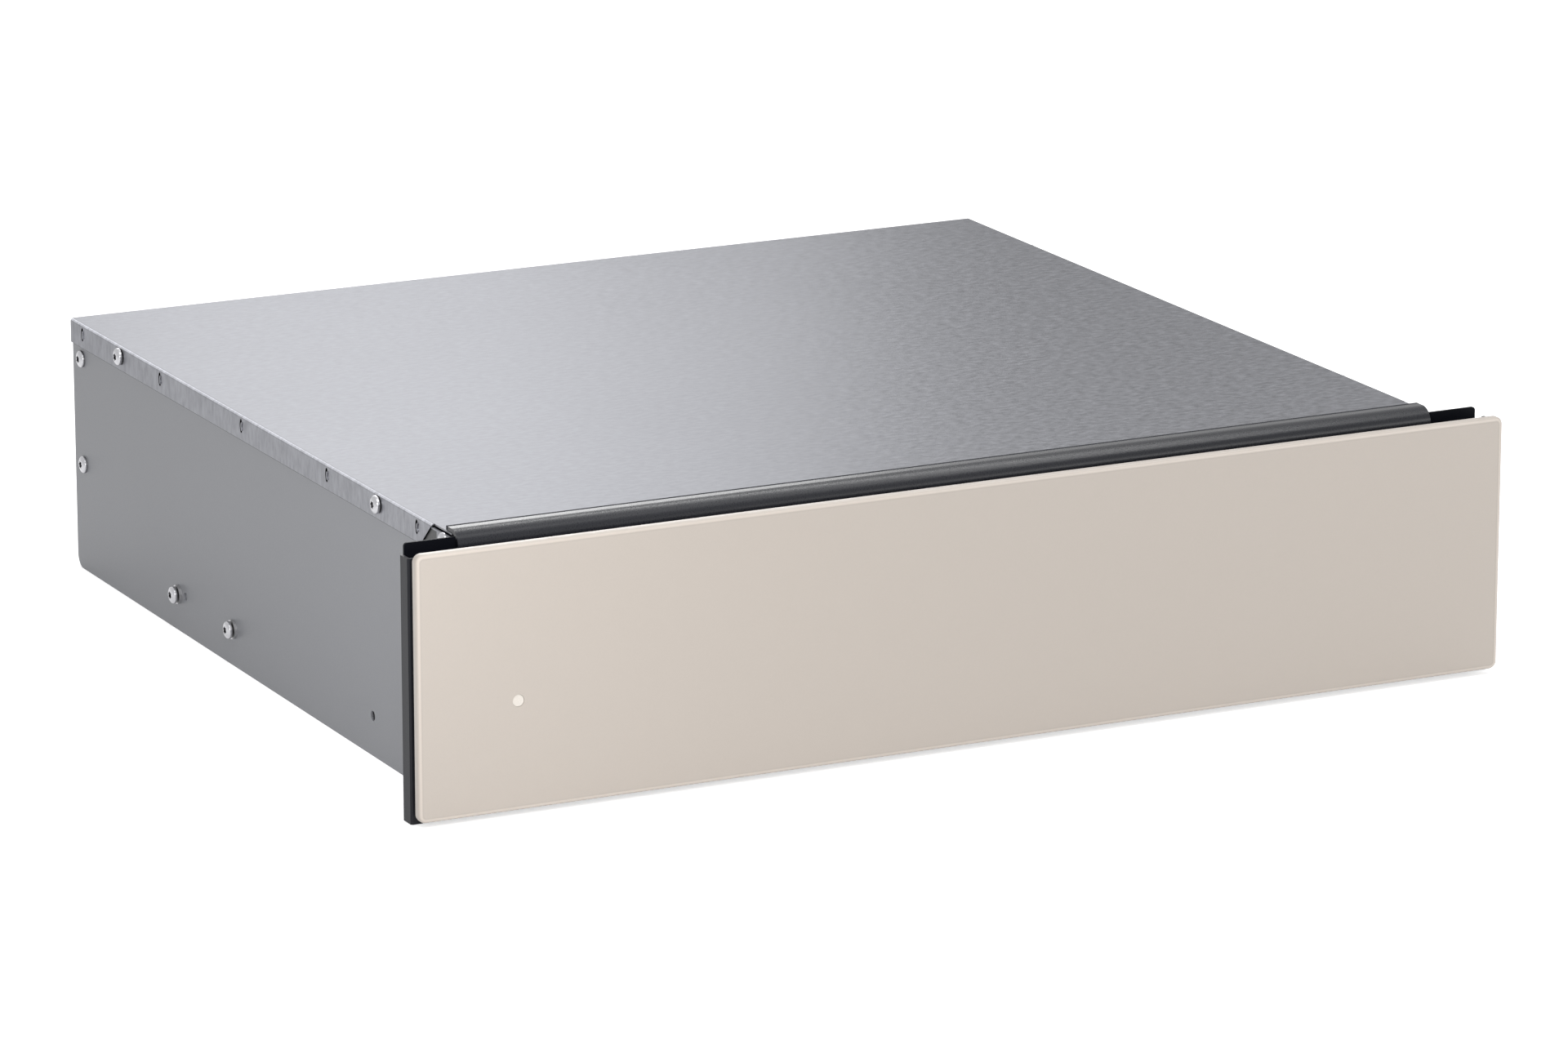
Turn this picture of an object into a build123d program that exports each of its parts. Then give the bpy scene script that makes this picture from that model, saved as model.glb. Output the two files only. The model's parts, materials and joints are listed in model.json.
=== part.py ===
from build123d import *
import os
from math import cos, radians, sin

os.makedirs("parts", exist_ok=True)

# A warming drawer built into a 60 cm kitchen cabinet, millimetres, +Z up.
# The pane faces -Y. The origin is the bottom centre of the whole drawer.

# Front pane and what holds it
pane_width = 595.0
pane_height = 131.3
pane_thickness = 5.0
pane_corner = 4.0
pane_edge = 1.6
pane_bottom = 3.0
tape_thickness = 1.5
tape_width = 12.0
carrier_sheet = 1.2
carrier_depth = 9.0
carrier_low_margin = 6.0
carrier_high_margin = 8.3

# Side trims behind the pane
trim_gap = 4.1
trim_depth = 8.8
trim_width = 8.5
trim_wall = 1.6
trim_bevel = 0.9
trim_bottom = 0.4
trim_drop = 3.7

# Cabinet
side_overhang = 29.5
body_rise = 1.0
body_depth = 496.1
panel_sheet = 1.0
cover_sheet = 0.8
bend_radius = 1.6
flange = 12.0
cover_flange = 12.8
cover_start = 5.0
cover_cut_top = 25.3
cover_cut_bottom = 39.3
top_gap = 1.2
panel_corner = 7.0
rear_step = 2.2
nib_first = 43.2
nib_rear_margin = 17.7
nib_count = 5
nib_drop = 5.5
nib_bend = 5.0
nib_slit = 2.2
nib_lip = 1.0
nib_half_angle = 30
nib_notch = 6.0
bead_margin = 25.0
bead_width = 26.0
vent_offset = 60.0
vent_pitch = 9.0
vent_width = 3.5
vent_count = 14

# Black front frame and the rounded deflector over it
frame_sheet = 1.2
frame_inset = 3.4
frame_corner = 1.8
frame_top_drop = 0.3
frame_bottom = 0.6
frame_head = 23.3
frame_tab_depth = 24.0
frame_tab_overlap = 20.0
fixing_hole_radius = 2.25
fixing_reach = 16.0
fixing_low = 22.0
deflector_sheet = 2.0
deflector_radius = 8.0
deflector_lip = 14.0
deflector_rise = 2.2
deflector_drop = 21.3

# Push to open
push_in = 3.0
push_clearance = 0.3

# Ball-bearing rails
rail_room = 96.1
rail_start = 10.8
rail_height = 33.0
rail_thickness = 12.7
rail_axis_height = 19.5
rail_screw_setbacks = (59.5, 133.5)
rivet_setback = 69.0
rivet_radius = 2.1
service_depth = 100.3
service_radius = 2.5
side_hole_rise = 1.0
rail_sheet = 1.2
rail_lip = 2.4
ball_radius = 1.6
small_ball_radius = 1.3
ball_gap = 0.12
ball_pitch = 22.0
balls_in_row = 3
cage_sheet = 0.5
cage_length = 64.0

# Tray
tray_sheet = 0.8
tray_bottom = 7.0
tray_headroom = 43.3
tray_corner = 4.0
tray_rim = 7.0
ledge_depth = 44.0
mat_thickness = 2.2
mat_inset = 9.0
mat_corner = 12.0
groove_pitch = 20.0
groove_margin = 15.0
groove_width = 3.0
groove_depth = 0.6
tray_slot_pitch = 13.0
tray_slot_width = 5.0
tray_screw_radius = 3.2
tray_screw_height = 1.2

# Heat shield under the cover
liner_flange = 9.0

# Rear compartment
baffle_gap = 12.0
heater_box_half_width = 105.0
heater_box_bottom = 18.0
heater_box_depth = 31.0
fan_tip_gap = 2.2
fan_depth = 15.0
blade_count = 11
blade_sheet = 1.2
hub_radius = 8.0
shaft_radius = 3.0
shaft_clearance = 0.05
element_tube = 6.4
element_gap = 1.4
cutout_inset = 45.0
cutout_radius = 8.0
cutout_height = 6.0
block_setback = 30.0
block_pitch = 13.0
block_width = 24.0
block_height = 18.0
gland_reach = 10.0
gland_radius = 10.0
gland_bore = 4.2
gland_inset = 77.0
gland_height = 32.0

# Push latches behind the tray
latch_inset = 62.0
latch_width = 26.0
latch_length = 34.0
plunger_radius = 3.5

# Controls on the ledge inside the drawer
knob_radius = 14.0
knob_height = 13.0
knob_gap = 0.4
knob_shaft_length = 10.0
thermostat_size = 34.0
thermostat_neck = 3.0
thermostat_height = 20.0
knob_inset = 49.3
switch_length = 21.0
switch_width = 15.0
switch_spacing = 55.0
rocker_lean = 6.0
rocker_pin_radius = 1.4
lamp_inset = 52.1
lamp_rise = 54.2
lens_radius = 2.9
lens_clearance = 0.1
lens_recess = 0.3
lamp_radius = 4.6
lamp_socket = 5.0

# Fasteners
screw_head_radius = 4.5
screw_head_height = 2.6
screw_shank_radius = 1.9
screw_length = 7.0
recess_radius = 1.7
recess_depth = 1.3
washer_radius = 5.0
washer_thickness = 1.6
shoulder_height = 0.9
screw_drop = 5.6
rear_screw_drops = (19.4, 76.9)
rear_screw_setback = 14.8
cover_screw_front = 89.3
cover_screw_rear = 71.8
frame_screw_setback = 12.2

# Depths are counted back from the pane's front face
trim_front = pane_thickness + trim_gap
trim_back = trim_front + trim_depth
frame_front = trim_back + push_in + push_clearance
frame_back = frame_front + frame_sheet
cover_front = frame_front + cover_start
body_back = frame_front + body_depth
overall_depth = body_back + gland_reach
rear_inner = body_back - cover_sheet - panel_sheet
carrier_front = pane_thickness + tape_thickness
carrier_back = carrier_front + carrier_depth
rail_length = body_depth - rail_room
rail_front = frame_front + rail_start
rail_back = rail_front + rail_length
tray_front = carrier_back
tray_back = rail_back + 4.0
baffle_front = tray_back + baffle_gap
baffle_back = baffle_front + panel_sheet
floor_low = panel_sheet
floor_top = 2 * panel_sheet
half_body = pane_width / 2 - side_overhang
body_height = pane_bottom + pane_height + body_rise
inner_half = half_body - panel_sheet
tray_half = inner_half - rail_thickness
cover_half = half_body + cover_sheet
cover_under = body_height - cover_sheet
frame_top = body_height - frame_top_drop
panel_top = cover_under - top_gap
ledge_back = tray_front + ledge_depth
tray_wall_top = body_height - tray_headroom
ledge_top = tray_wall_top + tray_sheet
deflector_top = body_height + deflector_rise
strip_top = deflector_top - deflector_radius - 0.5
carrier_bottom = pane_bottom + carrier_low_margin
carrier_top = pane_bottom + pane_height - carrier_high_margin
trim_top = pane_bottom + pane_height - trim_drop
frame_half_width = pane_width / 2 - frame_inset
frame_opening_top = body_height - frame_head
fixing_half_span = half_body + fixing_reach
deflector_half_length = inner_half
deflector_bottom = body_height - deflector_drop
heater_box_top = body_height - frame_head
heater_box_height = heater_box_top - heater_box_bottom
fan_axis_height = heater_box_bottom + heater_box_height / 2
element_ring = heater_box_height / 2 - panel_sheet - element_tube / 2 - element_gap
fan_radius = element_ring - element_tube / 2 - fan_tip_gap
latch_x = inner_half - latch_inset
gland_x = inner_half - gland_inset
knob_x = -(tray_half - knob_inset)
switch_x = knob_x + switch_spacing
lamp_x = -(pane_width / 2 - lamp_inset)
lamp_height = pane_bottom + lamp_rise
heater_back = baffle_back + heater_box_depth


def y_at(depth):
    return depth - overall_depth / 2


def front_plane(depth):
    # x to the right, y up, looking at the pane
    return Plane.XZ.offset(-y_at(depth))


def side_plane(x):
    # x to the back, y up
    return Plane.YZ.offset(x)


def level(height):
    return Plane.XY.offset(height)


def save(piece, label):
    piece.part.label = label
    export_step(piece.part, "parts/" + label + ".step")


def sheet_outline(points, radius, sheet, side=Side.LEFT):
    # A folded sheet: the outer line with its bends, and the wall inside it
    with BuildLine() as outline:
        FilletPolyline(*points, radius=radius)
        offset(amount=sheet, side=side)
    make_face(outline.edges())


def facing(x, depth, height, direction):
    # A place for a fastener whose axis is local z
    return Plane(origin=(x, y_at(depth), height), x_dir=(0, 0, 1), z_dir=direction)


# ---------------------------------------------------------------- fasteners

with BuildPart() as screw:
    with BuildSketch(Plane.XZ):
        with BuildLine():
            Line((0, 0), (screw_head_radius, 0))
            Line((screw_head_radius, 0), (screw_head_radius, 0.4 * screw_head_height))
            ThreePointArc(
                (screw_head_radius, 0.4 * screw_head_height),
                (0.62 * screw_head_radius, 0.86 * screw_head_height),
                (0, screw_head_height),
            )
            Line((0, screw_head_height), (0, 0))
        make_face()
    revolve(axis=Axis.Z)
    with BuildSketch(Plane.XY):
        Circle(screw_shank_radius)
    extrude(amount=-screw_length)
    with BuildSketch(Plane.XY.offset(screw_head_height + 1)):
        RegularPolygon(recess_radius, 6)
    extrude(amount=-recess_depth - 1, mode=Mode.SUBTRACT)

with BuildPart() as shoulder_screw:
    with BuildSketch(Plane.XZ):
        with BuildLine():
            Polyline(
                (0, 0),
                (0.62 * screw_head_radius, 0),
                (0.62 * screw_head_radius, shoulder_height),
                (screw_head_radius, shoulder_height),
                (screw_head_radius, shoulder_height + 0.35 * screw_head_height),
            )
            ThreePointArc(
                (screw_head_radius, shoulder_height + 0.35 * screw_head_height),
                (0.62 * screw_head_radius, shoulder_height + 0.8 * screw_head_height),
                (0, shoulder_height + 0.92 * screw_head_height),
            )
            Line((0, shoulder_height + 0.92 * screw_head_height), (0, 0))
        make_face()
    revolve(axis=Axis.Z)
    with BuildSketch(Plane.XY):
        Circle(screw_shank_radius)
    extrude(amount=-(washer_thickness + panel_sheet + rail_sheet))
    with BuildSketch(Plane.XY.offset(screw_head_height + shoulder_height)):
        RegularPolygon(recess_radius, 6)
    extrude(amount=-recess_depth - 0.2 * screw_head_height, mode=Mode.SUBTRACT)

cover_screw_depths = (body_back - cover_screw_rear, frame_front + cover_screw_front)
cover_screw_height = body_height - screw_drop
rear_screw_depth = body_back - rear_screw_setback
rear_screw_heights = [body_height - drop for drop in rear_screw_drops]
rail_screw_depths = [rail_back - setback for setback in rail_screw_setbacks]
frame_screw_depth = frame_front + frame_screw_setback
frame_screw_height = cover_screw_height
service_hole = (frame_front + service_depth, rail_axis_height + side_hole_rise)
rivet_hole = (rail_back - rivet_setback, rail_axis_height + side_hole_rise)
nib_pitch = (body_depth - nib_first - nib_rear_margin) / (nib_count - 1)
nib_depths = [frame_front + nib_first + nib_pitch * index for index in range(nib_count)]
nib_height = body_height - nib_drop

with BuildPart() as cover_screws:
    with Locations(*[facing(-cover_half, d, cover_screw_height, (-1, 0, 0)) for d in cover_screw_depths]):
        add(screw.part)
    mirror(about=Plane.YZ)
save(cover_screws, "cover_screws")

with BuildPart() as rear_edge_screws:
    with Locations(*[facing(-half_body, rear_screw_depth, h, (-1, 0, 0)) for h in rear_screw_heights]):
        add(screw.part)
    mirror(about=Plane.YZ)
save(rear_edge_screws, "rear_edge_screws")

with BuildPart() as frame_screws:
    with Locations(facing(-half_body, frame_screw_depth, frame_screw_height, (-1, 0, 0))):
        add(screw.part)
    mirror(about=Plane.YZ)
save(frame_screws, "frame_screws")

with BuildPart() as rail_shoulder_screws:
    places = [
        facing(-half_body - washer_thickness, d, rail_axis_height, (-1, 0, 0))
        for d in rail_screw_depths
    ]
    with Locations(*places):
        add(shoulder_screw.part)
    mirror(about=Plane.YZ)
save(rail_shoulder_screws, "rail_shoulder_screws")

with BuildPart() as rail_washers:
    for d in rail_screw_depths:
        with BuildSketch(side_plane(-half_body)):
            with Locations((y_at(d), rail_axis_height)):
                Circle(washer_radius)
                Circle(screw_shank_radius, mode=Mode.SUBTRACT)
    extrude(amount=-washer_thickness)
    mirror(about=Plane.YZ)
save(rail_washers, "rail_washers")

# ---------------------------------------------------------------- cabinet shells

with BuildPart() as side_panel_left:
    side_depth = body_back - rear_step - frame_back
    with BuildSketch(side_plane(-half_body)) as wall:
        with Locations((y_at(frame_back) + side_depth / 2, panel_top / 2)):
            Rectangle(side_depth, panel_top)
        fillet(wall.vertices().group_by(Axis.X)[-1].sort_by(Axis.Y)[0], panel_corner)
        with Locations((y_at(service_hole[0]), service_hole[1])):
            Circle(service_radius, mode=Mode.SUBTRACT)
        with Locations((y_at(rivet_hole[0]), rivet_hole[1])):
            Circle(rivet_radius, mode=Mode.SUBTRACT)
        with Locations(*[(y_at(d), rail_axis_height) for d in rail_screw_depths]):
            Circle(screw_shank_radius, mode=Mode.SUBTRACT)
        with Locations(*[(y_at(d), cover_screw_height) for d in cover_screw_depths]):
            Circle(screw_shank_radius, mode=Mode.SUBTRACT)
        with Locations(*[(y_at(rear_screw_depth), h) for h in rear_screw_heights]):
            Circle(screw_shank_radius, mode=Mode.SUBTRACT)
        with Locations((y_at(frame_screw_depth), frame_screw_height)):
            Circle(screw_shank_radius, mode=Mode.SUBTRACT)
        # The cover's nibs reach into notches in the panel's top edge
        with Locations(*[(y_at(d), nib_height) for d in nib_depths]):
            Rectangle(nib_notch, 2 * nib_notch, mode=Mode.SUBTRACT)
    extrude(amount=panel_sheet)
    with BuildSketch(level(0)) as foot:
        with Locations((-inner_half + flange / 2, y_at(frame_back) + (side_depth - panel_corner) / 2)):
            Rectangle(flange, side_depth - panel_corner)
        chamfer(foot.vertices().group_by(Axis.X)[-1], flange / 2)
    extrude(amount=panel_sheet)
save(side_panel_left, "side_panel_left")

with BuildPart() as side_panel_right:
    mirror(side_panel_left.part, about=Plane.YZ)
save(side_panel_right, "side_panel_right")

with BuildPart() as floor_panel:
    floor_depth = rear_inner - frame_back
    floor_middle = y_at(frame_back) + floor_depth / 2
    bead_length = tray_back - ledge_back - 2 * bead_margin
    bead_pitch = 0.487 * inner_half
    bead_middle = y_at((tray_back + ledge_back) / 2)
    with BuildSketch(level(floor_low)):
        with Locations((0, floor_middle)):
            Rectangle(2 * inner_half, floor_depth)
        with Locations((0, bead_middle)):
            with GridLocations(bead_pitch, 1, 3, 1):
                SlotOverall(bead_length, bead_width, rotation=90, mode=Mode.SUBTRACT)
    extrude(amount=panel_sheet)
    # Stiffening beads pressed up out of the floor
    with BuildSketch(level(floor_low)):
        with Locations((0, bead_middle)):
            with GridLocations(bead_pitch, 1, 3, 1):
                SlotOverall(bead_length, bead_width, rotation=90)
                SlotOverall(
                    bead_length - 2 * panel_sheet, bead_width - 2 * panel_sheet, rotation=90, mode=Mode.SUBTRACT
                )
    extrude(amount=2.5 * panel_sheet)
    with BuildSketch(level(floor_low + 1.5 * panel_sheet)):
        with Locations((0, bead_middle)):
            with GridLocations(bead_pitch, 1, 3, 1):
                SlotOverall(bead_length - 2 * panel_sheet, bead_width - 2 * panel_sheet, rotation=90)
    extrude(amount=panel_sheet)
save(floor_panel, "floor_panel")

with BuildPart() as rear_panel:
    rear_low = floor_top
    with BuildSketch(level(rear_low)):
        sheet_outline(
            (
                (-inner_half, y_at(rear_screw_depth) - 8),
                (-inner_half, y_at(body_back) - cover_sheet),
                (inner_half, y_at(body_back) - cover_sheet),
                (inner_half, y_at(rear_screw_depth) - 8),
            ),
            bend_radius,
            panel_sheet,
            Side.RIGHT,
        )
    extrude(amount=cover_under - bend_radius - rear_low)
    with BuildSketch(front_plane(rear_inner)):
        with Locations((gland_x, gland_height)):
            Circle(gland_radius - 2.5)
        with Locations((-vent_offset, fan_axis_height)):
            with GridLocations(vent_pitch, heater_box_height / 3, vent_count, 3):
                SlotOverall(heater_box_height / 4, vent_width, rotation=90)
    extrude(amount=-2 * panel_sheet, mode=Mode.SUBTRACT)
    with BuildSketch(side_plane(-inner_half)):
        with Locations(*[(y_at(rear_screw_depth), h) for h in rear_screw_heights]):
            Circle(screw_shank_radius)
    extrude(amount=2 * inner_half, mode=Mode.SUBTRACT)
save(rear_panel, "rear_panel")

slit_arc = CenterArc((-nib_bend, 0), nib_bend, -nib_half_angle, 2 * nib_half_angle)
lip_arc = CenterArc((-nib_bend, 0), nib_bend - (nib_slit + nib_lip) / 2, -nib_half_angle, 2 * nib_half_angle)

with BuildPart() as top_cover:
    top_length = body_back - bend_radius - cover_front
    with BuildSketch(front_plane(cover_front)):
        sheet_outline(
            (
                (-cover_half, body_height - cover_flange),
                (-cover_half, body_height),
                (cover_half, body_height),
                (cover_half, body_height - cover_flange),
            ),
            bend_radius,
            cover_sheet,
            Side.RIGHT,
        )
    extrude(amount=-top_length)
    # The rear edge is folded down over the rear panel
    with BuildSketch(side_plane(-cover_half + bend_radius)):
        sheet_outline(
            (
                (y_at(body_back) - 2 * bend_radius, body_height),
                (y_at(body_back), body_height),
                (y_at(body_back), body_height - cover_flange),
            ),
            bend_radius,
            cover_sheet,
            Side.RIGHT,
        )
    extrude(amount=2 * (cover_half - bend_radius))
    # Both flanges stop short of the front with a slanting cut
    with BuildSketch(side_plane(-cover_half)):
        with BuildLine():
            Polyline(
                (y_at(cover_front) - 1, cover_under),
                (y_at(frame_front + cover_cut_top), cover_under),
                (y_at(frame_front + cover_cut_bottom), body_height - cover_flange - 1),
                (y_at(cover_front) - 1, body_height - cover_flange - 1),
                close=True,
            )
        make_face()
    extrude(amount=2 * cover_half, mode=Mode.SUBTRACT)
    # Above the slanting cut the bend is gone too, and the sheet ends square
    for plane in (side_plane(-cover_half), side_plane(cover_half - bend_radius)):
        with BuildSketch(plane):
            with Locations((y_at(frame_front + cover_cut_top), body_height)):
                Rectangle(cover_cut_top, 2 * bend_radius, align=(Align.MAX, Align.CENTER))
        extrude(amount=bend_radius, mode=Mode.SUBTRACT)
    with BuildSketch(side_plane(-cover_half)):
        with Locations(*[(y_at(d), cover_screw_height) for d in cover_screw_depths]):
            Circle(screw_shank_radius)
    extrude(amount=2 * cover_half, mode=Mode.SUBTRACT)
    # Lanced nibs: a narrow curved slit with a pressed lip in front of it
    for d in nib_depths:
        with BuildSketch(side_plane(-cover_half)):
            with Locations((y_at(d), nib_height)):
                SlotArc(slit_arc, nib_slit)
        extrude(amount=2 * cover_half, mode=Mode.SUBTRACT)
        for plane, out in ((side_plane(-cover_half), -1), (side_plane(cover_half), 1)):
            with BuildSketch(plane):
                with Locations((y_at(d), nib_height)):
                    SlotArc(lip_arc, nib_lip)
            extrude(amount=out * nib_lip / 2)
save(top_cover, "top_cover")

# ---------------------------------------------------------------- front frame

frame_tab_bottom = frame_opening_top - frame_tab_overlap

with BuildPart() as front_frame:
    with BuildSketch(front_plane(frame_front)) as portal:
        with Locations((0, (frame_bottom + frame_top) / 2)):
            Rectangle(2 * frame_half_width, frame_top - frame_bottom)
        fillet(portal.vertices().group_by(Axis.Y)[-1], frame_corner)
        with Locations((0, frame_top)):
            Rectangle(2 * deflector_half_length + 1, 2 * (frame_top - strip_top), mode=Mode.SUBTRACT)
        with Locations((0, frame_opening_top / 2)):
            Rectangle(2 * (inner_half - frame_sheet), frame_opening_top, mode=Mode.SUBTRACT)
        for height in (fixing_low, frame_opening_top):
            with Locations((-fixing_half_span, height), (fixing_half_span, height)):
                Circle(fixing_hole_radius, mode=Mode.SUBTRACT)
    extrude(amount=-frame_sheet)
    # Side tabs run back inside the side panels and take the frame screws
    with BuildSketch(side_plane(-inner_half)):
        with Locations((y_at(frame_back) + frame_tab_depth / 2, (frame_tab_bottom + panel_top) / 2)):
            Rectangle(frame_tab_depth, panel_top - frame_tab_bottom)
        with Locations((y_at(frame_screw_depth), frame_screw_height)):
            Circle(screw_shank_radius, mode=Mode.SUBTRACT)
    extrude(amount=frame_sheet)
    mirror(about=Plane.YZ)
    # A return along the top edge stiffens the strip under the cover
    with BuildSketch(level(strip_top - frame_sheet)):
        with Locations((0, y_at(frame_back) + flange / 2)):
            Rectangle(2 * (inner_half - 3 * frame_sheet - screw_length), flange)
    extrude(amount=frame_sheet)
save(front_frame, "front_frame")

with BuildPart() as top_deflector:
    with BuildSketch(side_plane(-deflector_half_length)):
        sheet_outline(
            (
                (y_at(frame_front - deflector_sheet + deflector_lip), deflector_top),
                (y_at(frame_front - deflector_sheet), deflector_top),
                (y_at(frame_front - deflector_sheet), deflector_bottom),
            ),
            deflector_radius,
            deflector_sheet,
            Side.LEFT,
        )
    extrude(amount=2 * deflector_half_length)
save(top_deflector, "top_deflector")

# ---------------------------------------------------------------- ball rails
# Seen along the drawer, u counts inwards from the side panel and w up from the
# rail's centre line. The three members are folded channels, nested.

half_rail = rail_height / 2
outer_inside = half_rail - rail_sheet
ball_height = outer_inside - ball_radius - ball_gap
middle_outside = ball_height - ball_radius - ball_gap
middle_inside = middle_outside - rail_sheet
small_ball_height = middle_inside - small_ball_radius - ball_gap
inner_outside = small_ball_height - small_ball_radius - ball_gap
middle_web = rail_sheet + 1.2
outer_ball_u = middle_web + 4.2
inner_ball_u = outer_ball_u + 0.6
rail_mouth = rail_thickness - 1.8


def rail_plane(depth):
    # Local x is u on the left side of the drawer, local y is w
    return Plane(origin=(-inner_half, y_at(depth), rail_axis_height), x_dir=(1, 0, 0), z_dir=(0, -1, 0))


with BuildPart() as rail_outer_left:
    with BuildSketch(rail_plane(rail_front)):
        sheet_outline(
            (
                (rail_mouth, half_rail - rail_lip),
                (rail_mouth, half_rail),
                (0, half_rail),
                (0, -half_rail),
                (rail_mouth, -half_rail),
                (rail_mouth, -half_rail + rail_lip),
            ),
            rail_sheet,
            rail_sheet,
            Side.LEFT,
        )
    extrude(amount=-rail_length)
    with BuildSketch(side_plane(-inner_half)):
        with Locations(*[(y_at(d), rail_axis_height) for d in rail_screw_depths]):
            Circle(screw_shank_radius)
        with Locations((y_at(service_hole[0]), service_hole[1])):
            Circle(service_radius)
    extrude(amount=rail_sheet, mode=Mode.SUBTRACT)
save(rail_outer_left, "rail_outer_left")

with BuildPart() as rail_outer_right:
    mirror(rail_outer_left.part, about=Plane.YZ)
save(rail_outer_right, "rail_outer_right")

with BuildPart() as rail_middle_left:
    with BuildSketch(rail_plane(rail_front)):
        sheet_outline(
            (
                (rail_mouth - rail_sheet, middle_outside),
                (middle_web, middle_outside),
                (middle_web, -middle_outside),
                (rail_mouth - rail_sheet, -middle_outside),
            ),
            rail_sheet,
            rail_sheet,
            Side.LEFT,
        )
    extrude(amount=-rail_length)
save(rail_middle_left, "rail_middle_left")

with BuildPart() as rail_middle_right:
    mirror(rail_middle_left.part, about=Plane.YZ)
save(rail_middle_right, "rail_middle_right")

with BuildPart() as rail_inner_left:
    with BuildSketch(rail_plane(rail_front)):
        sheet_outline(
            (
                (middle_web + 2 * rail_sheet, inner_outside),
                (rail_thickness, inner_outside),
                (rail_thickness, -inner_outside),
                (middle_web + 2 * rail_sheet, -inner_outside),
            ),
            rail_sheet,
            rail_sheet,
            Side.RIGHT,
        )
    extrude(amount=-rail_length)
save(rail_inner_left, "rail_inner_left")

with BuildPart() as rail_inner_right:
    mirror(rail_inner_left.part, about=Plane.YZ)
save(rail_inner_right, "rail_inner_right")


def ball_places(u, w, centre_depth):
    first = centre_depth - ball_pitch * (balls_in_row - 1) / 2
    return [
        (-inner_half + u, y_at(first + ball_pitch * index), rail_axis_height + sign * w)
        for index in range(balls_in_row)
        for sign in (-1, 1)
    ]


def cage_outline(u_low, u_high, w):
    # A folded strip with a web and two edges that the balls sit in
    sheet_outline(
        ((u_high, w), (u_low, w), (u_low, -w), (u_high, -w)), cage_sheet, cage_sheet, Side.LEFT
    )


outer_cage_depth = rail_back - 0.36 * rail_length
inner_cage_depth = rail_back - 0.64 * rail_length

with BuildPart() as outer_balls_left:
    with Locations(*ball_places(outer_ball_u, ball_height, outer_cage_depth)):
        Sphere(ball_radius)
save(outer_balls_left, "outer_balls_left")

with BuildPart() as outer_cage_left:
    with BuildSketch(rail_plane(outer_cage_depth - cage_length / 2)):
        cage_outline(rail_sheet + 0.35, outer_ball_u + ball_radius, ball_height + cage_sheet / 2)
    extrude(amount=-cage_length)
    with Locations(*ball_places(outer_ball_u, ball_height, outer_cage_depth)):
        Sphere(ball_radius + ball_gap, mode=Mode.SUBTRACT)
save(outer_cage_left, "outer_cage_left")

with BuildPart() as inner_balls_left:
    with Locations(*ball_places(inner_ball_u, small_ball_height, inner_cage_depth)):
        Sphere(small_ball_radius)
save(inner_balls_left, "inner_balls_left")

with BuildPart() as inner_cage_left:
    with BuildSketch(rail_plane(inner_cage_depth - cage_length / 2)):
        cage_outline(
            middle_web + rail_sheet + 0.3, inner_ball_u + small_ball_radius, small_ball_height + cage_sheet / 2
        )
    extrude(amount=-cage_length)
    with Locations(*ball_places(inner_ball_u, small_ball_height, inner_cage_depth)):
        Sphere(small_ball_radius + ball_gap, mode=Mode.SUBTRACT)
save(inner_cage_left, "inner_cage_left")

with BuildPart() as outer_balls_right:
    mirror(outer_balls_left.part, about=Plane.YZ)
save(outer_balls_right, "outer_balls_right")

with BuildPart() as outer_cage_right:
    mirror(outer_cage_left.part, about=Plane.YZ)
save(outer_cage_right, "outer_cage_right")

with BuildPart() as inner_balls_right:
    mirror(inner_balls_left.part, about=Plane.YZ)
save(inner_balls_right, "inner_balls_right")

with BuildPart() as inner_cage_right:
    mirror(inner_cage_left.part, about=Plane.YZ)
save(inner_cage_right, "inner_cage_right")

# ---------------------------------------------------------------- drawer front

pane_middle = pane_bottom + pane_height / 2

with BuildPart() as front_glass:
    with BuildSketch(front_plane(0)):
        with Locations((0, pane_middle)):
            RectangleRounded(pane_width, pane_height, pane_corner)
    extrude(amount=-pane_thickness)
    fillet(front_glass.faces().sort_by(Axis.Y)[0].outer_wire().edges(), pane_edge)
    fillet(front_glass.faces().sort_by(Axis.Y)[-1].outer_wire().edges(), pane_edge)
    with BuildSketch(front_plane(0)):
        with Locations((lamp_x, lamp_height)):
            Circle(lens_radius + lens_clearance)
    extrude(amount=-pane_thickness, mode=Mode.SUBTRACT)
save(front_glass, "front_glass")

carrier_half = pane_width / 2 - trim_width
channel_width = 30.0
channel_height = tray_wall_top - tray_bottom - 10

with BuildPart() as glazing_tape:
    with BuildSketch(front_plane(pane_thickness)):
        with Locations((0, (carrier_bottom + carrier_top) / 2)):
            Rectangle(2 * carrier_half, carrier_top - carrier_bottom)
            Rectangle(
                2 * (carrier_half - tape_width), carrier_top - carrier_bottom - 2 * tape_width, mode=Mode.SUBTRACT
            )
    extrude(amount=-tape_thickness)
save(glazing_tape, "glazing_tape")

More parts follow.
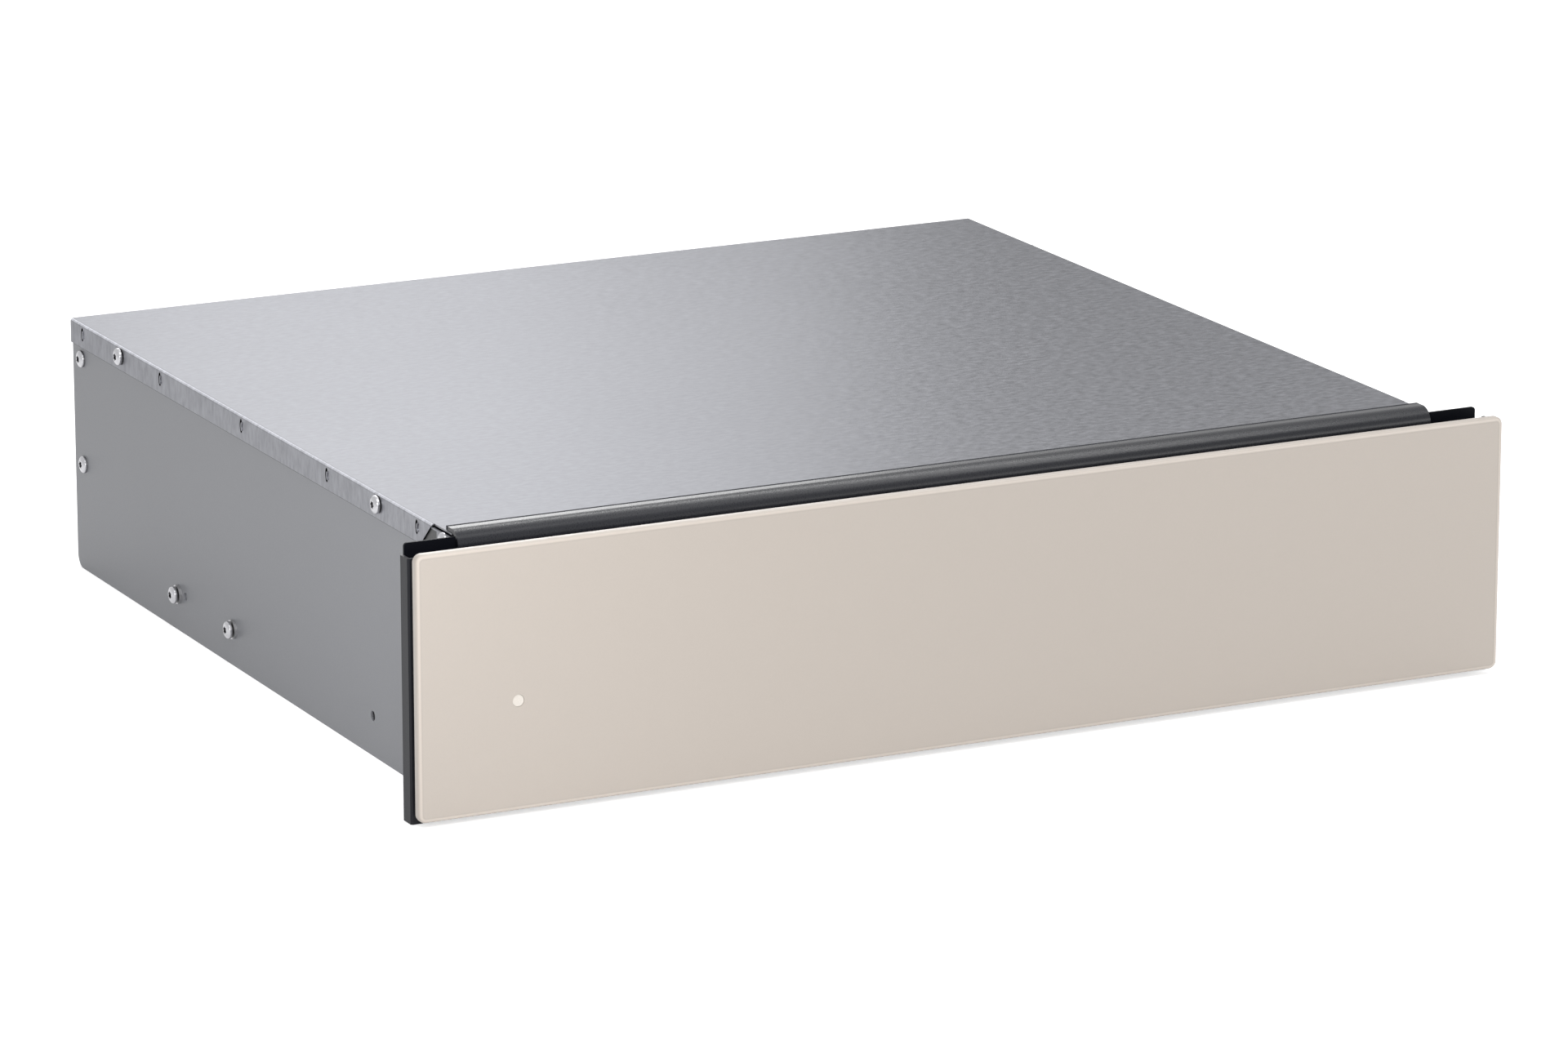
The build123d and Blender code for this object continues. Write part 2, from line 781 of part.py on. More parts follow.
with BuildPart() as front_carrier:
    with BuildSketch(front_plane(carrier_front)):
        with Locations((0, (carrier_bottom + carrier_top) / 2)):
            Rectangle(2 * carrier_half, carrier_top - carrier_bottom)
    extrude(amount=-carrier_depth)
    back_face = front_carrier.faces().sort_by(Axis.Y)[-1]
    offset(amount=-carrier_sheet, openings=back_face)
    with BuildSketch(front_plane(carrier_front)):
        with Locations((lamp_x, lamp_height)):
            Circle(lens_radius + lens_clearance)
    extrude(amount=-carrier_sheet, mode=Mode.SUBTRACT)
    # Two upright channels stiffen the pan and meet the tray
    with BuildSketch(front_plane(carrier_front + carrier_sheet)):
        for sign in (-1, 1):
            with Locations((sign * 0.59 * tray_half, (tray_bottom + tray_wall_top) / 2)):
                Rectangle(channel_width, channel_height)
                Rectangle(channel_width - 2 * carrier_sheet, channel_height - 2 * carrier_sheet, mode=Mode.SUBTRACT)
    extrude(amount=-(carrier_depth - carrier_sheet))
save(front_carrier, "front_carrier")

with BuildPart() as trim_left:
    outer_x = -pane_width / 2
    inner_x = outer_x + trim_width
    with BuildSketch(level(trim_bottom)) as channel:
        with BuildLine():
            Polyline(
                (outer_x, y_at(trim_back)),
                (outer_x, y_at(trim_front) + trim_bevel),
                (outer_x + trim_bevel, y_at(trim_front)),
                (inner_x, y_at(trim_front)),
                (inner_x, y_at(carrier_back)),
                (inner_x - trim_wall, y_at(carrier_back)),
                (inner_x - trim_wall, y_at(trim_front) + trim_wall),
                (outer_x + trim_wall, y_at(trim_front) + trim_wall),
                (outer_x + trim_wall, y_at(trim_back)),
                close=True,
            )
        make_face()
    extrude(amount=trim_top - trim_bottom)
    # Rounded ends on the inner side
    with BuildSketch(front_plane(trim_front)):
        with Locations((inner_x - 1.5, trim_bottom + 1.5)):
            Rectangle(3, 3)
            with Locations((-1.5, 1.5)):
                Circle(3, mode=Mode.SUBTRACT)
    extrude(amount=-trim_depth, mode=Mode.SUBTRACT)
save(trim_left, "trim_left")

with BuildPart() as trim_right:
    mirror(trim_left.part, about=Plane.YZ)
save(trim_right, "trim_right")

# ---------------------------------------------------------------- tray

tray_middle = y_at((tray_front + tray_back) / 2)
with BuildPart() as tray:
    with BuildSketch(level(tray_bottom)):
        with Locations((0, tray_middle)):
            RectangleRounded(2 * tray_half, tray_back - tray_front, tray_corner)
    extrude(amount=tray_wall_top - tray_bottom)
    tray_mouth = tray.faces().sort_by(Axis.Z)[-1]
    offset(amount=-tray_sheet, openings=tray_mouth)
    # Wall between the plates and the controls
    with BuildSketch(front_plane(ledge_back)):
        with Locations((0, (tray_bottom + tray_wall_top) / 2)):
            Rectangle(2 * tray_half - tray_sheet, tray_wall_top - tray_bottom)
    extrude(amount=-tray_sheet)
    # Outward rim along both sides, above the rails
    with BuildSketch(level(tray_wall_top - tray_sheet)):
        for sign in (-1, 1):
            with Locations((sign * (tray_half + tray_rim / 2 - tray_sheet / 2), tray_middle)):
                Rectangle(tray_rim + tray_sheet, tray_back - tray_front - 4 * tray_corner)
    extrude(amount=tray_sheet)
    # Warm air comes in through slots in the back wall
    with BuildSketch(front_plane(tray_back - 2 * tray_sheet)):
        tray_wall = tray_wall_top - tray_bottom
        with Locations((0, tray_bottom + 0.6 * tray_wall)):
            with GridLocations(tray_slot_pitch, 0.4 * tray_wall, vent_count, 2):
                SlotOverall(0.3 * tray_wall, tray_slot_width, rotation=90)
    extrude(amount=-3 * tray_sheet, mode=Mode.SUBTRACT)
    with BuildSketch(front_plane(tray_front)):
        with Locations((lamp_x, lamp_height)):
            Circle(lens_radius + lens_clearance)
    extrude(amount=-tray_sheet, mode=Mode.SUBTRACT)
save(tray, "tray")

with BuildPart() as control_ledge:
    with BuildSketch(level(tray_wall_top)) as ledge_top_face:
        with Locations((0, y_at((tray_front + ledge_back + tray_sheet) / 2))):
            RectangleRounded(2 * tray_half, ledge_depth + tray_sheet, 2)
        with Locations((knob_x, y_at(tray_front + ledge_depth / 2))):
            Circle(shaft_radius + shaft_clearance, mode=Mode.SUBTRACT)
        with Locations((switch_x, y_at(tray_front + ledge_depth / 2))):
            Rectangle(switch_length - 2, switch_width - 2, mode=Mode.SUBTRACT)
    extrude(amount=tray_sheet)
save(control_ledge, "control_ledge")

with BuildPart() as non_slip_mat:
    mat_front = ledge_back + tray_sheet + mat_inset
    mat_back = tray_back - tray_sheet - mat_inset
    mat_length = mat_back - mat_front
    mat_width = 2 * (tray_half - tray_sheet - mat_inset)
    with BuildSketch(level(tray_bottom + tray_sheet)):
        with Locations((0, y_at((mat_front + mat_back) / 2))):
            RectangleRounded(mat_width, mat_length, mat_corner)
    extrude(amount=mat_thickness)
    with BuildSketch(level(tray_bottom + tray_sheet + mat_thickness)):
        with Locations((0, y_at((mat_front + mat_back) / 2))):
            with GridLocations(1, groove_pitch, 1, int(mat_length // groove_pitch) - 1):
                SlotOverall(mat_width - 2 * groove_margin, groove_width)
    extrude(amount=-groove_depth, mode=Mode.SUBTRACT)
save(non_slip_mat, "non_slip_mat")

with BuildPart() as tray_screws:
    with Locations(
        *[
            facing(-tray_half + tray_sheet, rail_front + rail_length * share, rail_axis_height, (1, 0, 0))
            for share in (0.2, 0.5, 0.8)
        ]
    ):
        Cylinder(tray_screw_radius, tray_screw_height, align=(Align.CENTER, Align.CENTER, Align.MIN))
    mirror(about=Plane.YZ)
save(tray_screws, "tray_screws")

# ---------------------------------------------------------------- controls

control_y = y_at(tray_front + ledge_depth / 2)

with BuildPart() as thermostat:
    with BuildSketch(level(tray_wall_top)):
        with Locations((knob_x, control_y)):
            Circle(thermostat_size / 2 - 1)
    extrude(amount=-thermostat_neck)
    with BuildSketch(level(tray_wall_top - thermostat_neck)):
        with Locations((knob_x, control_y)):
            RectangleRounded(thermostat_size, thermostat_size - 4, 4)
    extrude(amount=-thermostat_height)
    with BuildSketch(level(tray_wall_top)):
        with Locations((knob_x, control_y)):
            Circle(shaft_radius + shaft_clearance)
    extrude(amount=-knob_shaft_length - 2, mode=Mode.SUBTRACT)
save(thermostat, "thermostat")

with BuildPart() as knob:
    with BuildSketch(level(ledge_top + knob_gap)):
        with Locations((knob_x, control_y)):
            Circle(knob_radius)
    extrude(amount=knob_height, taper=4)
    fillet(knob.edges().group_by(Axis.Z)[-1], 1.2)
    with BuildSketch(level(ledge_top + knob_gap + 3)):
        with Locations((knob_x, control_y)):
            with PolarLocations(knob_radius + 1.0, 16):
                Circle(1.7)
    extrude(amount=knob_height, mode=Mode.SUBTRACT)
    with BuildSketch(level(ledge_top + knob_gap + knob_height)):
        with Locations((knob_x, control_y + knob_radius / 2)):
            Rectangle(1.2, knob_radius - 4)
    extrude(amount=-0.5, mode=Mode.SUBTRACT)
    with BuildSketch(level(ledge_top + knob_gap)):
        with Locations((knob_x, control_y)):
            Circle(shaft_radius)
    extrude(amount=-(tray_sheet + knob_gap + knob_shaft_length))
save(knob, "knob")

switch_depth = 16.0
switch_rise = 2.0
switch_wall = 1.0
pocket_length = switch_length - 4
pocket_width = switch_width - 4
rocker_axis = ledge_top - 2.0
with BuildPart() as switch_housing:
    with BuildSketch(level(ledge_top)):
        with Locations((switch_x, control_y)):
            RectangleRounded(switch_length, switch_width, 1.5)
    extrude(amount=switch_rise)
    with BuildSketch(level(ledge_top - switch_depth)):
        with Locations((switch_x, control_y)):
            Rectangle(pocket_length + 2 * switch_wall, pocket_width + 2 * switch_wall)
    extrude(amount=switch_depth)
    with BuildSketch(level(ledge_top - switch_depth / 2)):
        with Locations((switch_x, control_y)):
            Rectangle(pocket_length, pocket_width)
    extrude(amount=switch_depth / 2 + switch_rise, mode=Mode.SUBTRACT)
    # The rocker's pins turn in both walls
    with BuildSketch(Plane.XZ.offset(-control_y)):
        with Locations((switch_x, rocker_axis)):
            Circle(rocker_pin_radius + shaft_clearance)
    extrude(amount=switch_width, both=True, mode=Mode.SUBTRACT)
    # Two blade terminals
    with BuildSketch(level(ledge_top - switch_depth)):
        with Locations((switch_x, control_y)):
            with GridLocations(7, 1, 2, 1):
                Rectangle(0.8, 4.8)
    extrude(amount=-7)
save(switch_housing, "switch_housing")

# The rocker rests leaning one way and tips the other way by twice that angle
rocker_half = pocket_length / 2 - 0.7
lean = radians(rocker_lean)
with BuildPart() as switch_rocker:
    rocker_plane = Plane(
        origin=(switch_x, control_y, rocker_axis), x_dir=(cos(lean), 0, sin(lean)), z_dir=(0, -1, 0)
    )
    with BuildSketch(rocker_plane):
        with BuildLine():
            Line((-rocker_half, 5.4), (-rocker_half, 1.5))
            ThreePointArc((-rocker_half, 1.5), (0, -3.2), (rocker_half, 1.5))
            Line((rocker_half, 1.5), (rocker_half, 5.4))
            ThreePointArc((rocker_half, 5.4), (0, 3.9), (-rocker_half, 5.4))
        make_face()
    extrude(amount=pocket_width / 2 - 0.3, both=True)
    with BuildSketch(rocker_plane):
        Circle(rocker_pin_radius)
    extrude(amount=pocket_width / 2 + 0.9 * switch_wall, both=True)
save(switch_rocker, "switch_rocker")

with BuildPart() as indicator_lens:
    with BuildSketch(front_plane(lens_recess)):
        with Locations((lamp_x, lamp_height)):
            Circle(lens_radius)
    extrude(amount=-(tray_front + tray_sheet + lamp_socket - 1 - lens_recess))
save(indicator_lens, "indicator_lens")

with BuildPart() as pilot_lamp:
    with BuildSketch(front_plane(tray_front + tray_sheet)):
        with Locations((lamp_x, lamp_height)):
            Circle(lamp_radius)
            Circle(lens_radius + lens_clearance, mode=Mode.SUBTRACT)
    extrude(amount=-lamp_socket)
    with BuildSketch(front_plane(tray_front + tray_sheet + lamp_socket)):
        with Locations((lamp_x, lamp_height)):
            Circle(lamp_radius)
    extrude(amount=-2 * lamp_radius)
save(pilot_lamp, "pilot_lamp")

# ---------------------------------------------------------------- rear compartment

with BuildPart() as baffle:
    with BuildSketch(front_plane(baffle_front)):
        with Locations((0, (floor_top + cover_under) / 2)):
            Rectangle(2 * inner_half, cover_under - floor_top)
        with Locations((-latch_x, fan_axis_height), (latch_x, fan_axis_height)):
            Circle(plunger_radius + 1, mode=Mode.SUBTRACT)
        with Locations((0, fan_axis_height)):
            with PolarLocations(0.6 * fan_radius, 10):
                SlotOverall(0.6 * fan_radius, 4, mode=Mode.SUBTRACT)
        for sign in (-1, 1):
            with Locations((sign * (heater_box_half_width - 26), fan_axis_height)):
                with GridLocations(8, 1, 4, 1):
                    SlotOverall(0.64 * heater_box_height, 3.4, rotation=90, mode=Mode.SUBTRACT)
    extrude(amount=-panel_sheet)
    with BuildSketch(level(floor_top)):
        with Locations((0, y_at(baffle_back) + flange / 2)):
            Rectangle(2 * inner_half - 2 * flange, flange)
    extrude(amount=panel_sheet)
save(baffle, "baffle")

# The element is one tube: out through the heater box, once round the fan and back
fan_front = baffle_back + 6
ring_depth = fan_front + 8
element_turn = 10.0
ring_start = radians(200)
ring_end = radians(-130)
tail_back = heater_back + 8


def on_ring(angle, depth):
    return Vector(element_ring * cos(angle), y_at(depth), fan_axis_height + element_ring * sin(angle))


def along_ring(angle):
    return Vector(-sin(angle), 0, cos(angle))


start = on_ring(ring_start, ring_depth)
finish = on_ring(ring_end, ring_depth)
first = start + along_ring(ring_start) * element_turn
last = finish - along_ring(ring_end) * element_turn

with BuildPart() as heater_box:
    with BuildSketch(front_plane(baffle_back)):
        with Locations((0, (heater_box_bottom + heater_box_top) / 2)):
            RectangleRounded(2 * heater_box_half_width, heater_box_top - heater_box_bottom, 8)
    extrude(amount=-heater_box_depth)
    box_mouth = heater_box.faces().sort_by(Axis.Y)[0]
    offset(amount=-panel_sheet, openings=box_mouth)
    with BuildSketch(front_plane(heater_back - panel_sheet)):
        with Locations((0, fan_axis_height)):
            Circle(shaft_radius + 4)
        with Locations((first.X, first.Z), (last.X, last.Z)):
            Circle(element_tube / 2 + 0.1)
    extrude(amount=-panel_sheet, mode=Mode.SUBTRACT)
save(heater_box, "heater_box")

fan_plane = front_plane(fan_front + fan_depth)
blade_root = 0.55 * fan_radius
with BuildSketch() as blade:
    with BuildLine() as blade_line:
        ThreePointArc((blade_root, 0), (0.8 * fan_radius, 3.5), (fan_radius - 1, 13))
        offset(amount=blade_sheet, side=Side.LEFT)
    make_face()

with BuildPart() as fan_rotor:
    # Backplate, hub and forward-curved blades
    with BuildSketch(fan_plane):
        with Locations((0, fan_axis_height)):
            Circle(fan_radius)
    extrude(amount=blade_sheet)
    with BuildSketch(fan_plane):
        with Locations((0, fan_axis_height)):
            with PolarLocations(0, blade_count):
                add(blade.sketch)
    extrude(amount=fan_depth)
    with BuildSketch(fan_plane):
        with Locations((0, fan_axis_height)):
            Circle(hub_radius)
    extrude(amount=fan_depth * 0.7)
save(fan_rotor, "fan_rotor")

motor_front = heater_back + 6
motor_depth = 20.0
stack_size = 56.0
coil_height = 20.0
foot_places = [(x, fan_axis_height + z) for x in (-22, 22) for z in (-16, 22)]
with BuildPart() as fan_shaft:
    with BuildSketch(fan_plane):
        with Locations((0, fan_axis_height)):
            Circle(shaft_radius)
    extrude(amount=-(motor_front + motor_depth - 2 - fan_front - fan_depth))
save(fan_shaft, "fan_shaft")

with BuildPart() as fan_motor:
    with BuildSketch(front_plane(motor_front)) as stack:
        with Locations((0, fan_axis_height)):
            Rectangle(stack_size, stack_size)
        chamfer(stack.vertices(), 5)
    extrude(amount=-motor_depth * 0.7)
    with BuildSketch(front_plane(motor_front - 4)):
        with Locations((0, fan_axis_height)):
            Circle(15)
    extrude(amount=-(motor_depth * 0.7 + 8))
    with BuildSketch(front_plane(motor_front)):
        with Locations((0, fan_axis_height - stack_size / 2 - 6)):
            RectangleRounded(2 * coil_height, coil_height, 3)
    extrude(amount=-motor_depth * 0.8)
    # Two feet carry the stack on the heater box
    with BuildSketch(front_plane(heater_back)):
        with Locations(*foot_places):
            Circle(3)
    extrude(amount=-(motor_front - heater_back + 2))
    with BuildSketch(front_plane(motor_front - 4)):
        with Locations((0, fan_axis_height)):
            Circle(shaft_radius + shaft_clearance)
    extrude(amount=-(motor_depth + 2), mode=Mode.SUBTRACT)
save(fan_motor, "fan_motor")

with BuildPart() as heating_element:
    with BuildLine() as element_path:
        Line((first.X, y_at(tail_back), first.Z), (first.X, y_at(ring_depth) + element_turn, first.Z))
        TangentArc((first.X, y_at(ring_depth) + element_turn, first.Z), start, tangent=(0, -1, 0))
        ThreePointArc(start, on_ring(radians(35), ring_depth), finish)
        TangentArc((last.X, y_at(ring_depth) + element_turn, last.Z), finish, tangent=(0, -1, 0))
        Line((last.X, y_at(tail_back), last.Z), (last.X, y_at(ring_depth) + element_turn, last.Z))
    with BuildSketch(Plane(origin=element_path.line @ 0, z_dir=element_path.line % 0)):
        Circle(element_tube / 2)
    sweep()
save(heating_element, "heating_element")

cutout_x = heater_box_half_width - cutout_inset

with BuildPart() as thermal_cutout:
    with BuildSketch(front_plane(heater_back)):
        with Locations((cutout_x, fan_axis_height + 20)):
            Circle(cutout_radius)
    extrude(amount=-cutout_height)
    with BuildSketch(front_plane(heater_back + cutout_height)):
        with Locations((cutout_x, fan_axis_height + 20)):
            with GridLocations(10, 1, 2, 1):
                Rectangle(1, 6.3)
    extrude(amount=-8)
save(thermal_cutout, "thermal_cutout")

with BuildPart() as terminal_block:
    block_y = y_at(rear_inner - block_setback)
    with BuildSketch(level(floor_top)):
        with Locations((gland_x - block_setback, block_y)):
            RectangleRounded(3 * block_pitch + 5, block_width, 2)
    extrude(amount=block_height)
    with BuildSketch(level(floor_top + block_height)):
        with Locations((gland_x - block_setback, block_y)):
            with GridLocations(block_pitch, 1, 3, 1):
                Circle(3.4)
    extrude(amount=-block_height / 3, mode=Mode.SUBTRACT)
    with BuildSketch(level(floor_top + block_height)):
        with Locations((gland_x - block_setback, block_y)):
            with GridLocations(block_pitch, 1, 2, 1):
                Rectangle(1.4, block_width)
    extrude(amount=block_height / 6)
save(terminal_block, "terminal_block")

with BuildPart() as cable_gland:
    with BuildSketch(front_plane(body_back - cover_sheet)):
        with Locations((gland_x, gland_height)):
            RegularPolygon(gland_radius, 6)
    extrude(amount=-0.45 * (gland_reach + cover_sheet))
    with BuildSketch(front_plane(body_back - cover_sheet)):
        with Locations((gland_x, gland_height)):
            Circle(gland_radius * 0.78)
    extrude(amount=-(gland_reach + cover_sheet))
    fillet(cable_gland.faces().sort_by(Axis.Y)[-1].edges(), 1.5)
    with BuildSketch(front_plane(rear_inner)):
        with Locations((gland_x, gland_height)):
            Circle(gland_radius - 2.5 - 0.05)
    extrude(amount=-(panel_sheet + 0.5))
    with BuildSketch(front_plane(rear_inner - 4)):
        with Locations((gland_x, gland_height)):
            RegularPolygon(gland_radius + 1, 6)
    extrude(amount=-4)
    with BuildSketch(front_plane(rear_inner - 5)):
        with Locations((gland_x, gland_height)):
            Circle(gland_bore)
    extrude(amount=-(gland_reach + 10), mode=Mode.SUBTRACT)
save(cable_gland, "cable_gland")

# Push latch: a spring plunger behind the tray on each side
plunger_start = tray_back + push_in + push_clearance
with BuildPart() as latch_left:
    with BuildSketch(front_plane(baffle_back)):
        with Locations((-latch_x, fan_axis_height)):
            RectangleRounded(latch_width, latch_width, 3)
    extrude(amount=-latch_length)
    with BuildSketch(front_plane(baffle_back)):
        with Locations((-latch_x, fan_axis_height)):
            Circle(plunger_radius + shaft_clearance)
    extrude(amount=-16, mode=Mode.SUBTRACT)
save(latch_left, "latch_left")

with BuildPart() as latch_right:
    mirror(latch_left.part, about=Plane.YZ)
save(latch_right, "latch_right")

with BuildPart() as latch_plunger_left:
    with BuildSketch(front_plane(plunger_start)):
        with Locations((-latch_x, fan_axis_height)):
            Circle(plunger_radius)
    extrude(amount=-(baffle_back + 12 - plunger_start))
    fillet(latch_plunger_left.faces().sort_by(Axis.Y)[0].edges(), 1.2)
save(latch_plunger_left, "latch_plunger_left")

with BuildPart() as latch_plunger_right:
    mirror(latch_plunger_left.part, about=Plane.YZ)
save(latch_plunger_right, "latch_plunger_right")

with BuildPart() as ceiling_liner:
    liner_front = frame_back + frame_tab_depth + 2
    liner_length = baffle_front - liner_front
    with BuildSketch(front_plane(liner_front)):
        sheet_outline(
            (
                (-inner_half, frame_opening_top + liner_flange),
                (-inner_half, frame_opening_top),
                (inner_half, frame_opening_top),
                (inner_half, frame_opening_top + liner_flange),
            ),
            bend_radius,
            tray_sheet,
            Side.LEFT,
        )
    extrude(amount=-liner_length)
save(ceiling_liner, "ceiling_liner")
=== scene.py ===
import bpy
import json
from math import cos, pi, radians, sin
from mathutils import Euler, Matrix, Vector


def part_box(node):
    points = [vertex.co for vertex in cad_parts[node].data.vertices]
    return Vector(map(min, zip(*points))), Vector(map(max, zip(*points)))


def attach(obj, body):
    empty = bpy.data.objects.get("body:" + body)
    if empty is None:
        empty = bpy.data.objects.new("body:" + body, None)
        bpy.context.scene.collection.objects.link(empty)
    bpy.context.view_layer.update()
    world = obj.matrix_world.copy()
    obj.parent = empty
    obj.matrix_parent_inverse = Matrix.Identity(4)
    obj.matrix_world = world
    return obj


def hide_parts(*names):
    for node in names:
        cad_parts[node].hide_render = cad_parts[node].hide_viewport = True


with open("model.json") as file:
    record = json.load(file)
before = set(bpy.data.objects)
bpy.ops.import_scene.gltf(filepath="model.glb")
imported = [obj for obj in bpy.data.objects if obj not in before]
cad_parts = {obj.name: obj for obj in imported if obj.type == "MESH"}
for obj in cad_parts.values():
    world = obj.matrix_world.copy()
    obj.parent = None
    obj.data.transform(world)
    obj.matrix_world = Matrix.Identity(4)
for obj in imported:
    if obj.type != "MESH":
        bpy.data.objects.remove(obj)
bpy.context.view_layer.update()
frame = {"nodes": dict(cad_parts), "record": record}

nodes = frame["nodes"]
mm = 0.001


# ---- working with bpy.ops

def deselectAll():
    bpy.ops.object.select_all(action="DESELECT")


def only(piece):
    deselectAll()
    piece.select_set(True)
    bpy.context.view_layer.objects.active = piece


def bakePlace(piece):        # the place goes into the mesh, the object to the origin
    only(piece)
    bpy.ops.object.transform_apply(location=True, rotation=True, scale=True)
    return piece


def applyModifiers(piece):
    only(piece)
    for modifier in list(piece.modifiers):
        bpy.ops.object.modifier_apply(modifier=modifier.name)


def smoothByAngle(piece, degrees):
    only(piece)
    bpy.ops.object.shade_smooth_by_angle(angle=radians(degrees))


def joined(pieces, name):
    deselectAll()
    for piece in pieces:
        piece.select_set(True)
    bpy.context.view_layer.objects.active = pieces[0]
    bpy.ops.object.join()
    result = bpy.context.view_layer.objects.active
    result.name = name
    return result


def facesWhere(piece, test):
    # selects the faces that pass the test, in edit mode
    bpy.ops.object.mode_set(mode="OBJECT")
    for face in piece.data.polygons:
        face.select = test(face)
    for edge in piece.data.edges:
        edge.select = False
    for vertex in piece.data.vertices:
        vertex.select = False
    bpy.ops.object.mode_set(mode="EDIT")
    bpy.ops.mesh.select_mode(type="FACE")


def edgesWhere(piece, test):
    bpy.ops.object.mode_set(mode="EDIT")
    bpy.ops.mesh.select_mode(type="EDGE")
    bpy.ops.mesh.select_all(action="DESELECT")
    bpy.ops.object.mode_set(mode="OBJECT")
    points = piece.data.vertices
    for edge in piece.data.edges:
        edge.select = test(points[edge.vertices[0]].co, points[edge.vertices[1]].co)
    bpy.ops.object.mode_set(mode="EDIT")


def wear(piece, material):
    piece.data.materials.clear()
    piece.data.materials.append(material)


# ---- materials

def newMaterial(name):
    material = bpy.data.materials.new(name)
    material.use_nodes = True
    tree = material.node_tree
    tree.nodes.clear()
    output = tree.nodes.new("ShaderNodeOutputMaterial")
    shader = tree.nodes.new("ShaderNodeBsdfPrincipled")
    tree.links.new(shader.outputs["BSDF"], output.inputs["Surface"])
    return material, tree, shader


def objectNoise(tree, stretch, scale, detail, roughness=0.5):
    # noise on Object coordinates, stretched along an axis for grain
    place = tree.nodes.new("ShaderNodeTexCoord")
    mapping = tree.nodes.new("ShaderNodeMapping")
    mapping.inputs["Scale"].default_value = stretch
    noise = tree.nodes.new("ShaderNodeTexNoise")
    noise.inputs["Scale"].default_value = scale
    noise.inputs["Detail"].default_value = detail
    noise.inputs["Roughness"].default_value = roughness
    tree.links.new(place.outputs["Object"], mapping.inputs["Vector"])
    tree.links.new(mapping.outputs["Vector"], noise.inputs["Vector"])
    return noise.outputs["Fac"]


# the part of a factor's range that the two tones of a ramp spread over
noiseBand = (0.3, 0.7)
grainBand = (0.25, 0.75)
creviceBand = (0.35, 0.85)
maskBand = (0.4, 0.6)


def ramp(tree, factor, band, lowColour, highColour):
    node = tree.nodes.new("ShaderNodeValToRGB")
    node.color_ramp.elements[0].position, node.color_ramp.elements[1].position = band
    node.color_ramp.elements[0].color = (*lowColour, 1)
    node.color_ramp.elements[1].color = (*highColour, 1)
    tree.links.new(factor, node.inputs["Fac"])
    return node.outputs["Color"]


def grey(value):
    return (value, value, value)


def toned(colour, factor):
    return tuple(min(1.0, channel * factor) for channel in colour)


def varied(tree, factor, colour, contrast):
    # the colour, a little darker and lighter with the noise
    return ramp(tree, factor, noiseBand, toned(colour, 1 - contrast), toned(colour, 1 + contrast))


def roughened(tree, shader, factor, band, roughness, spread):
    rough = ramp(tree, factor, band, grey(roughness - spread), grey(roughness + spread))
    tree.links.new(rough, shader.inputs["Roughness"])


def addBump(tree, shader, height, distance, strength):
    bump = tree.nodes.new("ShaderNodeBump")
    bump.inputs["Distance"].default_value = distance
    bump.inputs["Strength"].default_value = strength
    tree.links.new(height, bump.inputs["Height"])
    tree.links.new(bump.outputs["Normal"], shader.inputs["Normal"])


def mathNode(tree, operation, first, second=None):
    node = tree.nodes.new("ShaderNodeMath")
    node.operation = operation
    for socket, value in zip(node.inputs, (first, second)):
        if value is None:
            continue
        if isinstance(value, (int, float)):
            socket.default_value = value
        else:
            tree.links.new(value, socket)
    return node.outputs["Value"]


def multiplied(tree, first, second):
    mix = tree.nodes.new("ShaderNodeMix")
    mix.data_type = "RGBA"
    mix.blend_type = "MULTIPLY"
    mix.inputs["Factor"].default_value = 1.0
    tree.links.new(first, mix.inputs["A"])
    tree.links.new(second, mix.inputs["B"])
    return mix.outputs["Result"]


# creviceTone is the darkest tone of the painted shade in recesses
metalBasics = dict(roughnessSpread=0.05, bumpStrength=0.4, creviceTone=0.03)        # what every metal shares


def brushedMetal(name, look):
    # colour and roughness both follow the grain; a slow mottle lies under it
    material, tree, shader = newMaterial(name)
    fine = objectNoise(tree, look["grain"], look["grainScale"], 3.0, 0.6)
    slow = objectNoise(tree, (1, 1, 1), look["mottleScale"], 2.0)
    streaks = varied(tree, fine, look["colour"], look["contrast"])
    mottle = ramp(tree, slow, noiseBand, grey(1 - look["mottle"]), grey(1.0))
    tone = multiplied(tree, streaks, mottle)
    # painted shade: ambient occlusion darkens the base colour where the surface is closed in
    if "crevice" in look:        # dark where the surface is closed in, as in a screw's recess
        shade = tree.nodes.new("ShaderNodeAmbientOcclusion")
        shade.inputs["Distance"].default_value = look["crevice"]
        depth = ramp(tree, shade.outputs["AO"], creviceBand, grey(metalBasics["creviceTone"]), grey(1.0))
        tone = multiplied(tree, tone, depth)
    tree.links.new(tone, shader.inputs["Base Color"])
    roughened(tree, shader, fine, grainBand, look["roughness"], metalBasics["roughnessSpread"])
    shader.inputs["Metallic"].default_value = look["metallic"]
    shader.inputs["Specular Tint"].default_value = (*grey(look.get("edgeTint", 1.0)), 1)
    addBump(tree, shader, fine, look["bump"], metalBasics["bumpStrength"])
    return material


def insideBox(tree, low, high):
    # 1 inside a box in metres, 0 outside; X counts from the middle to both sides, None leaves a side open
    place = tree.nodes.new("ShaderNodeTexCoord")
    split = tree.nodes.new("ShaderNodeSeparateXYZ")
    tree.links.new(place.outputs["Object"], split.inputs["Vector"])
    inside = None
    for axis, name in enumerate("XYZ"):
        value = mathNode(tree, "ABSOLUTE", split.outputs[name]) if axis == 0 else split.outputs[name]
        for limit, operation in ((low[axis], "GREATER_THAN"), (high[axis], "LESS_THAN")):
            if limit is None:
                continue
            passed = mathNode(tree, operation, value, limit)
            inside = passed if inside is None else mathNode(tree, "MULTIPLY", inside, passed)
    return inside


